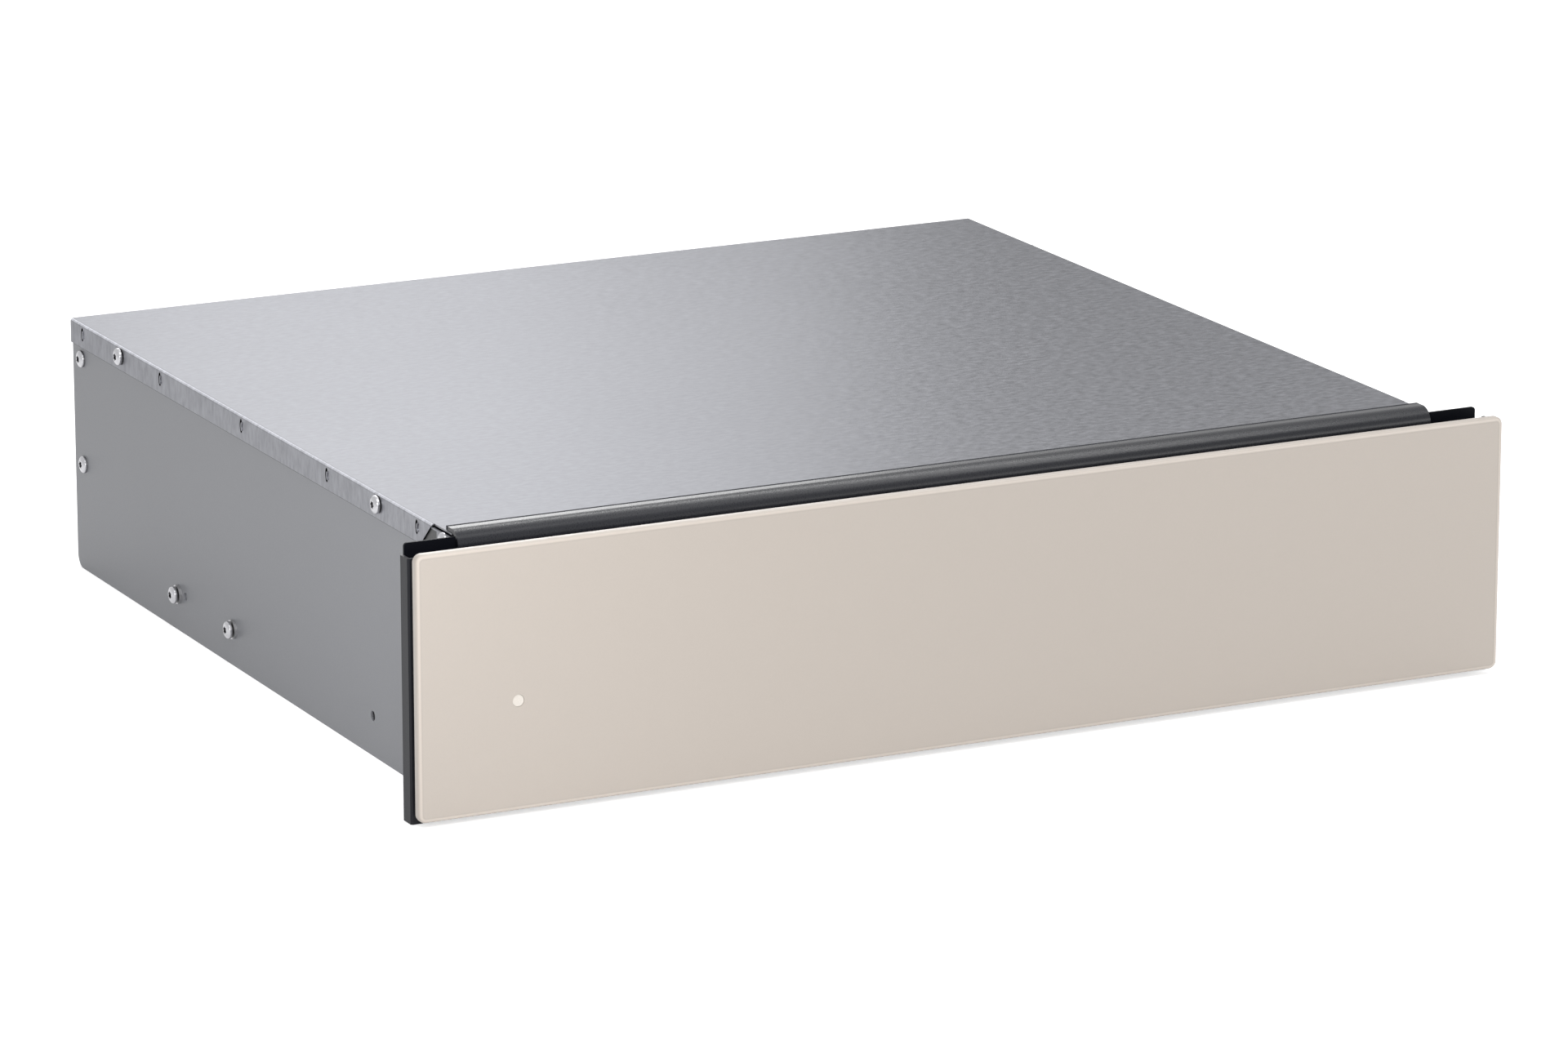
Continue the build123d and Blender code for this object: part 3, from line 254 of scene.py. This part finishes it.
def opened(finish, socket):
    # the finish's tree, one socket of its shader and what feeds that socket
    tree = finishes[finish].node_tree
    shader = next(node for node in tree.nodes if node.type == "BSDF_PRINCIPLED")
    return tree, shader.inputs[socket], shader.inputs[socket].links[0].from_socket


def shaded(finish, low, high, tone):
    # the finish's base colour is multiplied by the tone inside the box
    tree, target, source = opened(finish, "Base Color")
    shade = ramp(tree, insideBox(tree, low, high), maskBand, grey(1.0), grey(tone))
    tree.links.new(multiplied(tree, source, shade), target)


def matted(finish, low, high, roughness):
    # the finish is at least this rough inside the box
    tree, target, source = opened(finish, "Roughness")
    share = mathNode(tree, "MULTIPLY", insideBox(tree, low, high), roughness)
    tree.links.new(mathNode(tree, "MAXIMUM", source, share), target)


# what every coat shares; a coat's own look may set another specular
coatBasics = dict(patchScale=9.0, roughnessSpread=0.04, bumpStrength=0.5, specular=0.5)


def coated(name, look):
    # paint, moulded plastic or rubber: a fine skin on a slightly uneven colour
    material, tree, shader = newMaterial(name)
    skin = objectNoise(tree, (1, 1, 1), look["skinScale"], 2.0, 0.6)
    slow = objectNoise(tree, (1, 1, 1), coatBasics["patchScale"], 2.0)
    tree.links.new(varied(tree, slow, look["colour"], look["contrast"]), shader.inputs["Base Color"])
    roughened(tree, shader, skin, noiseBand, look["roughness"], coatBasics["roughnessSpread"])
    shader.inputs["Specular IOR Level"].default_value = look.get("specular", coatBasics["specular"])
    addBump(tree, shader, skin, look["bump"], coatBasics["bumpStrength"])
    return material


trayGrain = (0.09, 1.0, 0.09)        # lines run along X
depthGrain = (1.0, 0.05, 1.0)        # lines run front to back

brushedLooks = {
    "brushed_cover": dict(colour=(0.268, 0.271, 0.290), contrast=0.17, grain=(0.45, 1.0, 0.35), grainScale=400.0,
                          mottleScale=6.0, mottle=0.03, roughness=0.38, bump=0.00003, metallic=1.0, edgeTint=0.5),
    "zinc_sheet": dict(colour=(0.46, 0.47, 0.48), contrast=0.05, grain=(1, 1, 1), grainScale=140.0,
                       mottleScale=40.0, mottle=0.12, roughness=0.42, bump=0.00002, metallic=1.0),
    "tray_steel": dict(colour=(0.47, 0.47, 0.48), contrast=0.07, grain=trayGrain, grainScale=1300.0,
                       mottleScale=7.0, mottle=0.03, roughness=0.30, bump=0.00002, metallic=1.0),
    "screw_steel": dict(colour=(0.50, 0.50, 0.52), contrast=0.05, grain=(1, 1, 1), grainScale=900.0,
                        mottleScale=120.0, mottle=0.06, roughness=0.30, bump=0.00001, metallic=1.0,
                        crevice=1.6 * mm),
    "washer_steel": dict(colour=(0.50, 0.50, 0.51), contrast=0.05, grain=(1, 1, 1), grainScale=900.0,
                         mottleScale=120.0, mottle=0.10, roughness=0.42, bump=0.00001, metallic=1.0),
    "rail_zinc": dict(colour=(0.58, 0.585, 0.60), contrast=0.05, grain=depthGrain, grainScale=900.0,
                      mottleScale=30.0, mottle=0.06, roughness=0.30, bump=0.00001, metallic=1.0),
    "ball_steel": dict(colour=(0.80, 0.80, 0.80), contrast=0.02, grain=(1, 1, 1), grainScale=500.0,
                       mottleScale=60.0, mottle=0.02, roughness=0.12, bump=0.000002, metallic=1.0),
    "fan_aluminium": dict(colour=(0.68, 0.68, 0.69), contrast=0.04, grain=(1, 1, 1), grainScale=400.0,
                          mottleScale=40.0, mottle=0.05, roughness=0.34, bump=0.00001, metallic=1.0),
    "motor_iron": dict(colour=(0.18, 0.17, 0.17), contrast=0.10, grain=(0.05, 1.0, 0.05), grainScale=2200.0,
                       mottleScale=60.0, mottle=0.10, roughness=0.55, bump=0.00005, metallic=0.7),
    "element_steel": dict(colour=(0.20, 0.18, 0.17), contrast=0.12, grain=(1, 1, 1), grainScale=160.0,
                          mottleScale=30.0, mottle=0.15, roughness=0.45, bump=0.00001, metallic=0.8),
}
coatedLooks = {
    "grey_panel": dict(colour=(0.226, 0.231, 0.250), contrast=0.01, skinScale=1800.0, roughness=0.42, bump=0.00001),
    "black_sheet": dict(colour=(0.004, 0.0045, 0.007), contrast=0.05, skinScale=1600.0, roughness=0.45, bump=0.00002,
                        specular=0.06),
    "trim_black": dict(colour=(0.015, 0.0155, 0.019), contrast=0.04, skinScale=1600.0, roughness=0.40, bump=0.00002,
                       specular=0.13),
    "deflector_satin": dict(colour=(0.011, 0.0118, 0.016), contrast=0.04, skinScale=1500.0, roughness=0.29,
                            bump=0.00002, specular=0.30),
    "foam_tape": dict(colour=(0.012, 0.012, 0.014), contrast=0.2, skinScale=900.0, roughness=0.8, bump=0.0001),
    "cage_plastic": dict(colour=(0.03, 0.03, 0.03), contrast=0.08, skinScale=900.0, roughness=0.5, bump=0.00003),
    "mat_rubber": dict(colour=(0.045, 0.046, 0.05), contrast=0.10, skinScale=700.0, roughness=0.62, bump=0.0001),
    "dark_plastic": dict(colour=(0.02, 0.02, 0.022), contrast=0.06, skinScale=1100.0, roughness=0.42, bump=0.00004),
    "white_plastic": dict(colour=(0.72, 0.70, 0.66), contrast=0.03, skinScale=1100.0, roughness=0.45, bump=0.00003),
    "lens_white": dict(colour=(0.68, 0.635, 0.58), contrast=0.03, skinScale=900.0, roughness=0.25, bump=0.00001),
}

finishes = {}
for slotName, look in brushedLooks.items():
    finishes[slotName] = brushedMetal(slotName, look)
for slotName, look in coatedLooks.items():
    finishes[slotName] = coated(slotName, look)


paneLook = dict(colour=(0.454, 0.407, 0.364), speckle=0.012, speckleScale=1500.0, roughness=0.42, coat=0.25,
                coatRoughness=0.3, rimRadius=4.0 * mm, roughnessSpread=0.03, bump=0.000004, bumpStrength=0.5)
# painted highlight along the glass's rim, with a painted darker line inside it: tone of the glass by distance from
# its outline, in millimetres
paintedRimLight = ((0.0, 0.96), (0.6, 1.06), (1.0, 1.24), (1.7, 1.22), (2.0, 1.04), (2.3, 0.92), (2.8, 1.0))


def rimDistance(tree, low, high, radius):
    # distance inwards from the pane's rounded outline, up to the corner radius
    place = tree.nodes.new("ShaderNodeTexCoord")
    split = tree.nodes.new("ShaderNodeSeparateXYZ")
    tree.links.new(place.outputs["Object"], split.inputs["Vector"])
    squares = []
    for axis, name in ((0, "X"), (2, "Z")):
        centre = (low[axis] + high[axis]) / 2
        half = (high[axis] - low[axis]) / 2
        offset = mathNode(tree, "ABSOLUTE", mathNode(tree, "SUBTRACT", split.outputs[name], centre))
        over = mathNode(tree, "MAXIMUM", mathNode(tree, "SUBTRACT", offset, half - radius), 0.0)
        squares.append(mathNode(tree, "MULTIPLY", over, over))
    reach = mathNode(tree, "SQRT", mathNode(tree, "ADD", squares[0], squares[1]))
    return mathNode(tree, "SUBTRACT", radius, reach)


def paneFinish():
    # back-printed glass with a satin face and a painted highlight along its rim
    material, tree, shader = newMaterial("pane_glass")
    speckle = objectNoise(tree, (1, 1, 1), paneLook["speckleScale"], 2.0, 0.7)
    colour = varied(tree, speckle, paneLook["colour"], paneLook["speckle"])
    low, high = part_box("front_glass")
    distance = mathNode(tree, "DIVIDE", rimDistance(tree, low, high, paneLook["rimRadius"]), paneLook["rimRadius"])
    # painted highlight and painted darker line along the rim, by distance from the outline
    tones = tree.nodes.new("ShaderNodeValToRGB")
    tree.links.new(distance, tones.inputs["Fac"])
    places = tones.color_ramp.elements
    while len(places) < len(paintedRimLight):
        places.new(0.5)
    for element, (gap, tone) in zip(places, paintedRimLight):
        element.position = gap * mm / paneLook["rimRadius"]
        element.color = (*grey(tone), 1)
    tree.links.new(multiplied(tree, colour, tones.outputs["Color"]), shader.inputs["Base Color"])
    roughened(tree, shader, speckle, noiseBand, paneLook["roughness"], paneLook["roughnessSpread"])
    shader.inputs["Coat Weight"].default_value = paneLook["coat"]
    shader.inputs["Coat Roughness"].default_value = paneLook["coatRoughness"]
    addBump(tree, shader, speckle, paneLook["bump"], paneLook["bumpStrength"])
    return material


finishes["pane_glass"] = paneFinish()

# painted shade and painted highlights by place on the sheet metal, chosen to match the photo; places are in metres,
# on the part's own axes
paintedShadeAndLight = dict(panelSide=0.26, panelFront=-0.2215, panelRear=0.2505, panelTop=0.1325, gapDrop=0.7 * mm, gap=0.03,
                  wallInner=0.262, wallOuter=0.26868, wallTop=0.1332, wall=0.04,
                  flangeTop=0.1343, flange=1.16, bendSide=0.2677, bend=2.3)
lipLook = dict(depth=2.0 * mm, bottom=0.134, roughness=0.85)


def paintShadeAndLight():
    tones = paintedShadeAndLight
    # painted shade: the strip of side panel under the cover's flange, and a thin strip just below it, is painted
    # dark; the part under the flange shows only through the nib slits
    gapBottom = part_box("top_cover")[0].z - tones["gapDrop"]
    shaded("grey_panel", (tones["panelSide"], tones["panelFront"], gapBottom),
           (None, tones["panelRear"], tones["panelTop"]), tones["gap"])
    # painted shade on the cut walls of the cover: slits, slanting front corners and the flange's lower edge
    shaded("brushed_cover", (tones["wallInner"], None, None),
           (tones["wallOuter"], None, tones["wallTop"]), tones["wall"])
    # painted light: the flanges are painted a shade lighter than the top, and the bends carry a painted highlight
    shaded("brushed_cover", (tones["wallOuter"], None, None), (None, None, tones["flangeTop"]), tones["flange"])
    shaded("brushed_cover", (tones["bendSide"], None, tones["flangeTop"]), (None, None, None), tones["bend"])
    # the deflector's rear lip is rougher than the rest, so no bright line stands on it
    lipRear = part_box("top_deflector")[1].y
    matted("deflector_satin", (None, lipRear - lipLook["depth"], lipLook["bottom"]), (None, None, None),
           lipLook["roughness"])


paintShadeAndLight()

slotOf = {entry["node"]: entry["material_slot"] for entry in frame["record"]["subparts"]}
for nodeName, piece in nodes.items():
    wear(piece, finishes[slotOf[nodeName]])
    smoothByAngle(piece, 28)
print("finishes on", len(nodes), "nodes")


# ---- glass pane

pane = dict(corner=4.0 * mm, facetWidth=2.2 * mm, facetDepth=0.2 * mm, edgeRound=1.3 * mm, windowRadius=3.0 * mm,
            rimReach=1.4 * mm, drillLength=30.0 * mm)
near = 1e-6        # two places closer than this, in metres, are one
facing = 0.9        # a face looks along an axis where its normal has more than this share of it


def makePane():
    low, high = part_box("front_glass")
    deselectAll()
    bpy.ops.mesh.primitive_cube_add(size=1, location=(low + high) / 2)
    glass = bpy.context.active_object
    glass.name = "front_pane"
    glass.scale = high - low
    bakePlace(glass)
    # first the four short edges at the corners, which run through the glass
    edgesWhere(glass, lambda a, b: abs(a.x - b.x) < near and abs(a.z - b.z) < near)
    bpy.ops.mesh.bevel(offset=pane["corner"], segments=8, affect="EDGES")
    # the ground facet: the front face is inset, then its rim goes back
    facesWhere(glass, lambda face: face.normal.y < -facing)
    bpy.ops.mesh.inset(thickness=pane["facetWidth"])
    bpy.ops.object.mode_set(mode="OBJECT")
    rim = low.y + pane["facetDepth"]
    for point in glass.data.vertices:
        nearEdge = min(point.co.x - low.x, high.x - point.co.x, point.co.z - low.z, high.z - point.co.z)
        if point.co.y < low.y + near and nearEdge < pane["rimReach"]:
            point.co.y = rim
    only(glass)
    # round the outer edge, front and back
    edgesWhere(
        glass,
        lambda a, b: abs(a.y - b.y) < near and (abs(a.y - rim) < near or abs(a.y - high.y) < near),
    )
    bpy.ops.mesh.bevel(offset=pane["edgeRound"], segments=5, affect="EDGES")
    bpy.ops.object.mode_set(mode="OBJECT")
    lensLow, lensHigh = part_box("indicator_lens")
    centre = (lensLow + lensHigh) / 2
    deselectAll()
    bpy.ops.mesh.primitive_cylinder_add(
        vertices=48, radius=pane["windowRadius"], depth=pane["drillLength"], location=(centre.x, low.y, centre.z),
        rotation=(pi / 2, 0, 0),
    )
    drill = bpy.context.active_object
    cut = glass.modifiers.new("window", "BOOLEAN")
    cut.object = drill
    cut.operation = "DIFFERENCE"
    cut.solver = "EXACT"
    applyModifiers(glass)
    bpy.data.objects.remove(drill)
    smoothByAngle(glass, 24)
    weights = glass.modifiers.new("flatFace", "WEIGHTED_NORMAL")
    weights.keep_sharp = True        # the wide face stays flat in its shading
    applyModifiers(glass)
    wear(glass, finishes["pane_glass"])
    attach(glass, "drawer")
    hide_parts("front_glass")


makePane()
print("pane done")


# ---- screws

screwShape = dict(radius=4.5 * mm, height=2.6 * mm, rimHeight=0.9 * mm, recess=1.75 * mm, recessDepth=1.2 * mm,
                  lobes=6, lobeDepth=0.14, rings=7, steps=36, domeShare=0.8, shankRadius=1.85 * mm,
                  shankLength=6.9 * mm, shoulderRadius=2.75 * mm, shoulderHeight=0.9 * mm)
screwTurns, railTurns = (0.4, 0.7), (0.2, 0.9)        # the first screw's turn and the step to the next, in radians
clusterReach = 11.0 * mm        # points closer than this belong to one fastener


def headProfile(share):
    # a domed head: share 0 at the rim, 1 at the middle
    angle = share * pi / 2
    rise = screwShape["height"] - screwShape["rimHeight"]
    return screwShape["radius"] * cos(angle), screwShape["rimHeight"] + rise * sin(angle)


def makeHead():
    # a flat cylinder whose top is drawn in, ring by ring, into a dome with a six-lobed recess
    deselectAll()
    bpy.ops.mesh.primitive_cylinder_add(
        vertices=screwShape["steps"], radius=screwShape["radius"], depth=screwShape["rimHeight"],
        location=(0, 0, screwShape["rimHeight"] / 2), end_fill_type="NGON",
    )
    head = bpy.context.active_object
    bakePlace(head)
    previousRadius = screwShape["radius"]
    rings = screwShape["rings"]
    for index in range(1, rings):
        radius, height = headProfile(index / rings * screwShape["domeShare"])
        lastHeight = headProfile((index - 1) / rings * screwShape["domeShare"])[1]
        facesWhere(head, lambda face: face.normal.z > facing and face.center.z > lastHeight - near)
        bpy.ops.mesh.extrude_region_move(TRANSFORM_OT_translate={"value": (0, 0, height - lastHeight)})
        bpy.ops.transform.resize(value=(radius / previousRadius, radius / previousRadius, 1))
        previousRadius = radius
    # the recess: one more ring shaped into lobes, then pushed down
    topHeight = headProfile((rings - 1) / rings * screwShape["domeShare"])[1]
    facesWhere(head, lambda face: face.normal.z > facing and face.center.z > topHeight - near)
    bpy.ops.mesh.extrude_region_move(TRANSFORM_OT_translate={"value": (0, 0, 0.0)})
    shrink = screwShape["recess"] / previousRadius
    bpy.ops.transform.resize(value=(shrink, shrink, 1))
    bpy.ops.object.mode_set(mode="OBJECT")
    for point in head.data.vertices:
        flat = Vector((point.co.x, point.co.y))
        if point.co.z > topHeight - near and flat.length < screwShape["recess"] * 1.01:
            lobe = 1 + screwShape["lobeDepth"] * cos(screwShape["lobes"] * Vector((1, 0)).angle_signed(flat))
            point.co.x *= lobe
            point.co.y *= lobe
    facesWhere(head, lambda face: face.normal.z > facing and len(face.vertices) == screwShape["steps"])
    bpy.ops.mesh.extrude_region_move(TRANSFORM_OT_translate={"value": (0, 0, -screwShape["recessDepth"])})
    bpy.ops.object.mode_set(mode="OBJECT")
    smoothByAngle(head, 40)
    return head


def copyTo(piece, place):
    # one copy with its own mesh, moved to its place
    twin = piece.copy()
    twin.data = piece.data.copy()
    bpy.context.collection.objects.link(twin)
    twin.matrix_world = place
    return bakePlace(twin)


def addShank(radius, length, top):
    deselectAll()
    middle = (0, 0, top - length / 2)
    bpy.ops.mesh.primitive_cylinder_add(vertices=20, radius=radius, depth=length, location=middle)
    return bakePlace(bpy.context.active_object)


def sidePlace(side, x, y, z, turn):
    # local z points out of the side panel
    spin = Matrix.Rotation(side * pi / 2, 4, "Y") @ Matrix.Rotation(turn, 4, "Z")
    return Matrix.Translation((side * x, y, z)) @ spin


def clusters(node):
    # the centres of a fastener node's separate solids, on the left side
    points = [vertex.co for vertex in nodes[node].data.vertices if vertex.co.x < 0]
    groups = []
    for point in points:
        for group in groups:
            if abs(group[0].y - point.y) < clusterReach and abs(group[0].z - point.z) < clusterReach:
                group.append(point)
                break
        else:
            groups.append([point])
    found = []
    for group in groups:
        ys = [point.y for point in group]
        zs = [point.z for point in group]
        found.append(((min(ys) + max(ys)) / 2, (min(zs) + max(zs)) / 2))
    return sorted(found)


def placeScrews(model, node, name, seatX, turns):
    # one screw on each side for every fastener of the node, each pair turned a step further than the last
    firstTurn, turnStep = turns
    copies = []
    for index, (y, z) in enumerate(clusters(node)):
        for side in (-1, 1):
            copies.append(copyTo(model, sidePlace(side, seatX, y, z, firstTurn + index * turnStep)))
    screws = joined(copies, name)
    wear(screws, finishes["screw_steel"])
    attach(screws, "cabinet")
    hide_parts(node)


def makeScrews():
    plainHead = makeHead()
    shank = addShank(screwShape["shankRadius"], screwShape["shankLength"], 0)
    plain = joined([plainHead, shank], "screwModel")
    for node, seat in (("cover_screws", "top_cover"), ("rear_edge_screws", "side_panel_left"),
                       ("frame_screws", "side_panel_left")):
        placeScrews(plain, node, node.replace("_screws", "_dome_screws"), -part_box(seat)[0].x, screwTurns)
    # rail screws stand on a shoulder over their thick washers
    lift = screwShape["shoulderHeight"]
    lifted = copyTo(plain, Matrix.Translation((0, 0, lift)))
    shoulder = addShank(screwShape["shoulderRadius"], lift, lift)
    railScrew = joined([lifted, shoulder], "railScrewModel")
    placeScrews(railScrew, "rail_shoulder_screws", "rail_dome_screws", -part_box("rail_washers")[0].x, railTurns)
    for model in (plain, railScrew):
        bpy.data.objects.remove(model)


makeScrews()
print("screws done")


# ---- setting marks, raised a hair over the ledge and the knob

marks = dict(count=6, ring=17.6 * mm, first=0.55 * mm, growth=0.17 * mm, rise=0.12 * mm, span=270, dotEdge=0.04 * mm,
             pointerLength=7.0 * mm, pointerWidth=1.5 * mm, pointerInset=1.6 * mm, pointerEdge=0.05 * mm)


def finishPad(pad, name, body, edge, finish):
    # a small raised pad with a rounded top edge
    bevel = pad.modifiers.new("edge", "BEVEL")
    bevel.width = edge
    bevel.segments = 2
    applyModifiers(pad)
    smoothByAngle(pad, 40)
    pad.name = name
    wear(pad, finishes[finish])
    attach(pad, body)


def makeMarks():
    knobLow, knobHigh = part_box("knob")
    centre = (knobLow + knobHigh) / 2
    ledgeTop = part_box("control_ledge")[1].z
    startDegrees = -90 - (360 - marks["span"]) / 2        # the first dot; the knob turns clockwise from it
    dots = []
    for index in range(marks["count"]):
        angle = radians(startDegrees - index * marks["span"] / (marks["count"] - 1))
        deselectAll()
        bpy.ops.mesh.primitive_cylinder_add(
            vertices=28, radius=marks["first"] + marks["growth"] * index, depth=2 * marks["rise"],
            location=(centre.x + marks["ring"] * cos(angle), centre.y + marks["ring"] * sin(angle), ledgeTop),
        )
        dots.append(bakePlace(bpy.context.active_object))
    finishPad(joined(dots, "level_dots"), "level_dots", "drawer", marks["dotEdge"], "dark_plastic")
    deselectAll()
    bpy.ops.mesh.primitive_cube_add(size=1)
    pointer = bpy.context.active_object
    pointer.scale = (marks["pointerWidth"], marks["pointerLength"], 2 * marks["rise"])
    startAngle = radians(startDegrees)
    reach = (knobHigh.x - knobLow.x) / 2 - marks["pointerLength"] / 2 - marks["pointerInset"]
    pointer.location = (centre.x + reach * cos(startAngle), centre.y + reach * sin(startAngle), knobHigh.z)
    pointer.rotation_euler = (0, 0, startAngle - pi / 2)
    bakePlace(pointer)
    finishPad(pointer, "knob_pointer", "knob", marks["pointerEdge"], "lens_white")


makeMarks()
print("marks done")


# ---- stage, light and camera

# glow is added to the lit floor where the backdrop is seen; world is the strength of the light on the object
stage = dict(floorSize=14.0, floorShade=0.86, glow=0.62, world=0.42)


def backdropRays(tree):
    # 1 where the camera, a reflection or glass sees the backdrop
    path = tree.nodes.new("ShaderNodeLightPath")
    seen = mathNode(tree, "MAXIMUM", path.outputs["Is Camera Ray"], path.outputs["Is Transmission Ray"])
    return mathNode(tree, "MAXIMUM", seen, path.outputs["Is Glossy Ray"])


def makeStage():
    deselectAll()
    bpy.ops.mesh.primitive_plane_add(size=stage["floorSize"], location=(0, 0, 0))
    floor = bpy.context.active_object
    floor.name = "floor"
    bakePlace(floor)
    material = bpy.data.materials.new("paleFloor")
    material.use_nodes = True
    tree = material.node_tree
    tree.nodes.clear()
    output = tree.nodes.new("ShaderNodeOutputMaterial")
    diffuse = tree.nodes.new("ShaderNodeBsdfDiffuse")
    diffuse.inputs["Color"].default_value = (*grey(stage["floorShade"]), 1)
    glow = tree.nodes.new("ShaderNodeEmission")
    glow.inputs["Color"].default_value = (1, 1, 1, 1)
    strength = mathNode(tree, "MULTIPLY", backdropRays(tree), stage["glow"])
    tree.links.new(strength, glow.inputs["Strength"])
    both = tree.nodes.new("ShaderNodeAddShader")
    tree.links.new(diffuse.outputs["BSDF"], both.inputs[0])
    tree.links.new(glow.outputs["Emission"], both.inputs[1])
    tree.links.new(both.outputs["Shader"], output.inputs["Surface"])
    wear(floor, material)


def makeWorld():
    world = bpy.data.worlds.new("studio")
    bpy.context.scene.world = world
    world.use_nodes = True
    tree = world.node_tree
    tree.nodes.clear()
    output = tree.nodes.new("ShaderNodeOutputWorld")
    seen = tree.nodes.new("ShaderNodeBackground")
    seen.inputs["Color"].default_value = (1, 1, 1, 1)
    seen.inputs["Strength"].default_value = 1.0
    light = tree.nodes.new("ShaderNodeBackground")
    light.inputs["Color"].default_value = (1, 1, 1, 1)
    light.inputs["Strength"].default_value = stage["world"]
    mix = tree.nodes.new("ShaderNodeMixShader")
    tree.links.new(backdropRays(tree), mix.inputs["Fac"])
    tree.links.new(light.outputs["Background"], mix.inputs[1])
    tree.links.new(seen.outputs["Background"], mix.inputs[2])
    tree.links.new(mix.outputs["Shader"], output.inputs["Surface"])


lamps = {
    "softTop": dict(place=(-0.2, -1.0, 1.8), aim=(0, -0.1, 0), size=1.4, height=0.5, power=12.0),
    "topStrip": dict(place=(0.75, 0.0, 1.6), aim=(0, -0.2, 0.13), size=2.2, height=0.14, power=14.0),
    "leftFront": dict(place=(-0.85, -0.95, 0.45), aim=(-0.3, -0.2, 0.08), size=0.35, height=0.3, power=2.25),
    "paneGlow": dict(place=(-0.42, -0.52, 0.28), aim=(-0.3, -0.264, 0.12), size=0.12, height=0.1, power=0.4),
    "rightFront": dict(place=(1.0, -1.5, 0.35), aim=(0.28, -0.26, 0.06), size=0.8, height=0.6, power=5.8),
    "backLeft": dict(place=(0.16, 1.45, 0.70), aim=(-0.15, -0.1, 0.13), size=0.8, height=0.6, power=2.0),
    "bendGlint": dict(place=(-0.30, 1.35, 0.78), aim=(-0.27, 0.0, 0.13), size=0.25, height=0.2, power=0.35),
    "backBeam": dict(place=(0.45, 1.4, 0.7), aim=(-0.25, -0.25, 0.13), size=0.6, height=0.45, power=0.120,
                     spread=36),
}


def makeLamps():
    for name, lamp in lamps.items():
        data = bpy.data.lights.new(name, "AREA")
        data.shape = "RECTANGLE"
        data.size = lamp["size"]
        data.size_y = lamp["height"]
        data.energy = lamp["power"]
        data.spread = radians(lamp.get("spread", 180))
        piece = bpy.data.objects.new(name, data)
        bpy.context.collection.objects.link(piece)
        piece.location = lamp["place"]
        aim = Vector(lamp["aim"]) - Vector(lamp["place"])
        piece.rotation_euler = aim.to_track_quat("-Z", "Y").to_euler()
        piece.visible_camera = False        # the camera sees its light but not the lamp


cameraView = dict(place=(-1.6401, -3.33527, 1.04827), pitch=15.01, yaw=26.55, lens=170.8,
                  sensor=36.0, nearest=0.1, farthest=60.0)


def makeCamera():
    data = bpy.data.cameras.new("photoCamera")
    data.sensor_fit = "HORIZONTAL"
    data.sensor_width = cameraView["sensor"]
    data.lens = cameraView["lens"]
    data.clip_start = cameraView["nearest"]
    data.clip_end = cameraView["farthest"]
    camera = bpy.data.objects.new("photoCamera", data)
    bpy.context.collection.objects.link(camera)
    camera.location = cameraView["place"]
    camera.rotation_euler = Euler((radians(90 - cameraView["pitch"]), 0, radians(-cameraView["yaw"])))
    bpy.context.scene.camera = camera


makeStage()
makeWorld()
makeLamps()
makeCamera()
bpy.context.scene.view_settings.view_transform = "Standard"
print("stage, lamps and camera done")
